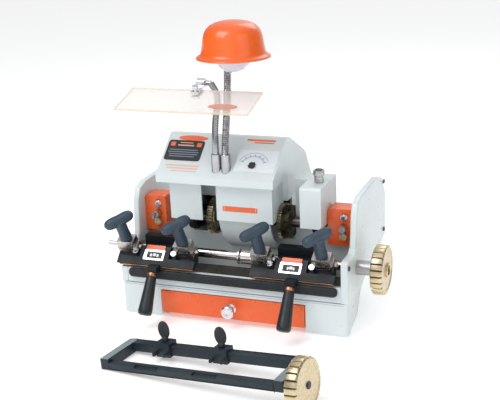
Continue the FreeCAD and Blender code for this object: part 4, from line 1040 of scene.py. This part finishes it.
def make_clamp_frame():
    """The loose clamp's frame: dark rails, with a painted highlight on the two end plates, whose
    upward faces are a paler grey.
    """
    _, lift = joint_spot("wing_screw_one_turn")
    piece = copy_of("long_clamp_frame", "long_clamp_frame_finish", SLATE, PALE)
    reach = [vertex.co.dot(CLAMP_SLIDE) for vertex in piece.data.vertices]
    axle, end_plate = 33 * MM, 15.5 * MM
    near, far = min(reach) + end_plate, max(reach) - axle - end_plate
    for face in piece.data.polygons:
        along = face.center.dot(CLAMP_SLIDE)
        # Upward faces of the end plates get the paler grey: painted highlight on their lit tops.
        if (along < near or along > far) and face.normal.dot(lift) > 0.8:
            face.material_index = 1
    finish_piece(bevelled(piece, 1.0 * MM, 2), "long_clamp", "black_cast", "long_clamp_frame")


def make_slider(number):
    """One slider with its washer and the moulded wing screw."""
    slider, node = "slider_" + number, "wing_screw_" + number
    soften(slider, slider, "black_cast", 1.0, SLATE)
    spot, axis = joint_spot(node + "_turn")
    low, high = span_along(node, spot, axis)
    foot, wide, sections, sides = 8 * MM, 11 * MM, 20, 24
    turn = Matrix((CLAMP_SLIDE, axis.cross(CLAMP_SLIDE), axis)).transposed()
    bm = bmesh.new()
    lathe_into(bm, [(0, low), (3 * MM, low)] + mm((3, 5), (5.4, 5), (5.4, 9.5), (4.2, 12),
                                                  (0, 12)), spot, axis, 28)
    rings = []
    for k in range(sections + 1):
        share = -1 + 2 * k / sections
        bulge = math.sqrt(max(1 - share * share, 0))
        thick = (3.6 - 1.2 * bulge) * MM * (0.3 + 0.7 * bulge)
        level = (foot + high) / 2 + share * (high - foot) / 2
        rings.append(ring_into(bm, [(wide * bulge * math.cos(2 * math.pi * n / sides),
                                     thick * math.sin(2 * math.pi * n / sides), level)
                                    for n in range(sides)], spot, turn))
    loft_into(bm, rings, capped=False)
    wing = fused(add_mesh(node + "_finish", bm, PLASTIC), 0.7 * MM, 3)
    finish_piece(wing, node, "black_plastic", node)
    bm = bmesh.new()
    lathe_into(bm, mm((0, 1.4), (7.2, 1.4), (7.2, 2.6), (6.4, 3.2), (0, 3.2)), spot, axis, 32)
    finish_piece(add_mesh("slider_washer_" + number, bm, CHROME), slider, "black_cast")


# ---- floor -----------------------------------------------------------------------------------

def make_floor():
    """Plain pale floor."""
    half = 8
    bm = bmesh.new()
    bm.faces.new([bm.verts.new((a * half, b * half, 0))
                  for a, b in ((-1, -1), (1, -1), (1, 1), (-1, 1))])
    paper = new_material("FloorWhite", (0.95, 0.95, 0.955), 0.8,
                         Emission_Color=(1, 1, 1, 1), Emission_Strength=0.3)
    add_mesh("floor", bm, paper)


make_floor()
make_castings()
make_tray_liner()
make_seams()
make_cheek_screws()
make_hood_label()
make_prints()
make_gauge()
make_dial()
make_shade()
make_bulb()
make_neck()
make_shield()
make_drawer_knob()
make_feed_wheel()
make_shaft()
make_spindle()
make_tracers()
for carriage_side in ("left", "right"):
    make_carriage(carriage_side)
make_clamp_frame()
for slider_number in ("one", "two"):
    make_slider(slider_number)
make_hand_wheel("long_clamp_wheel", 6.2 * MM)
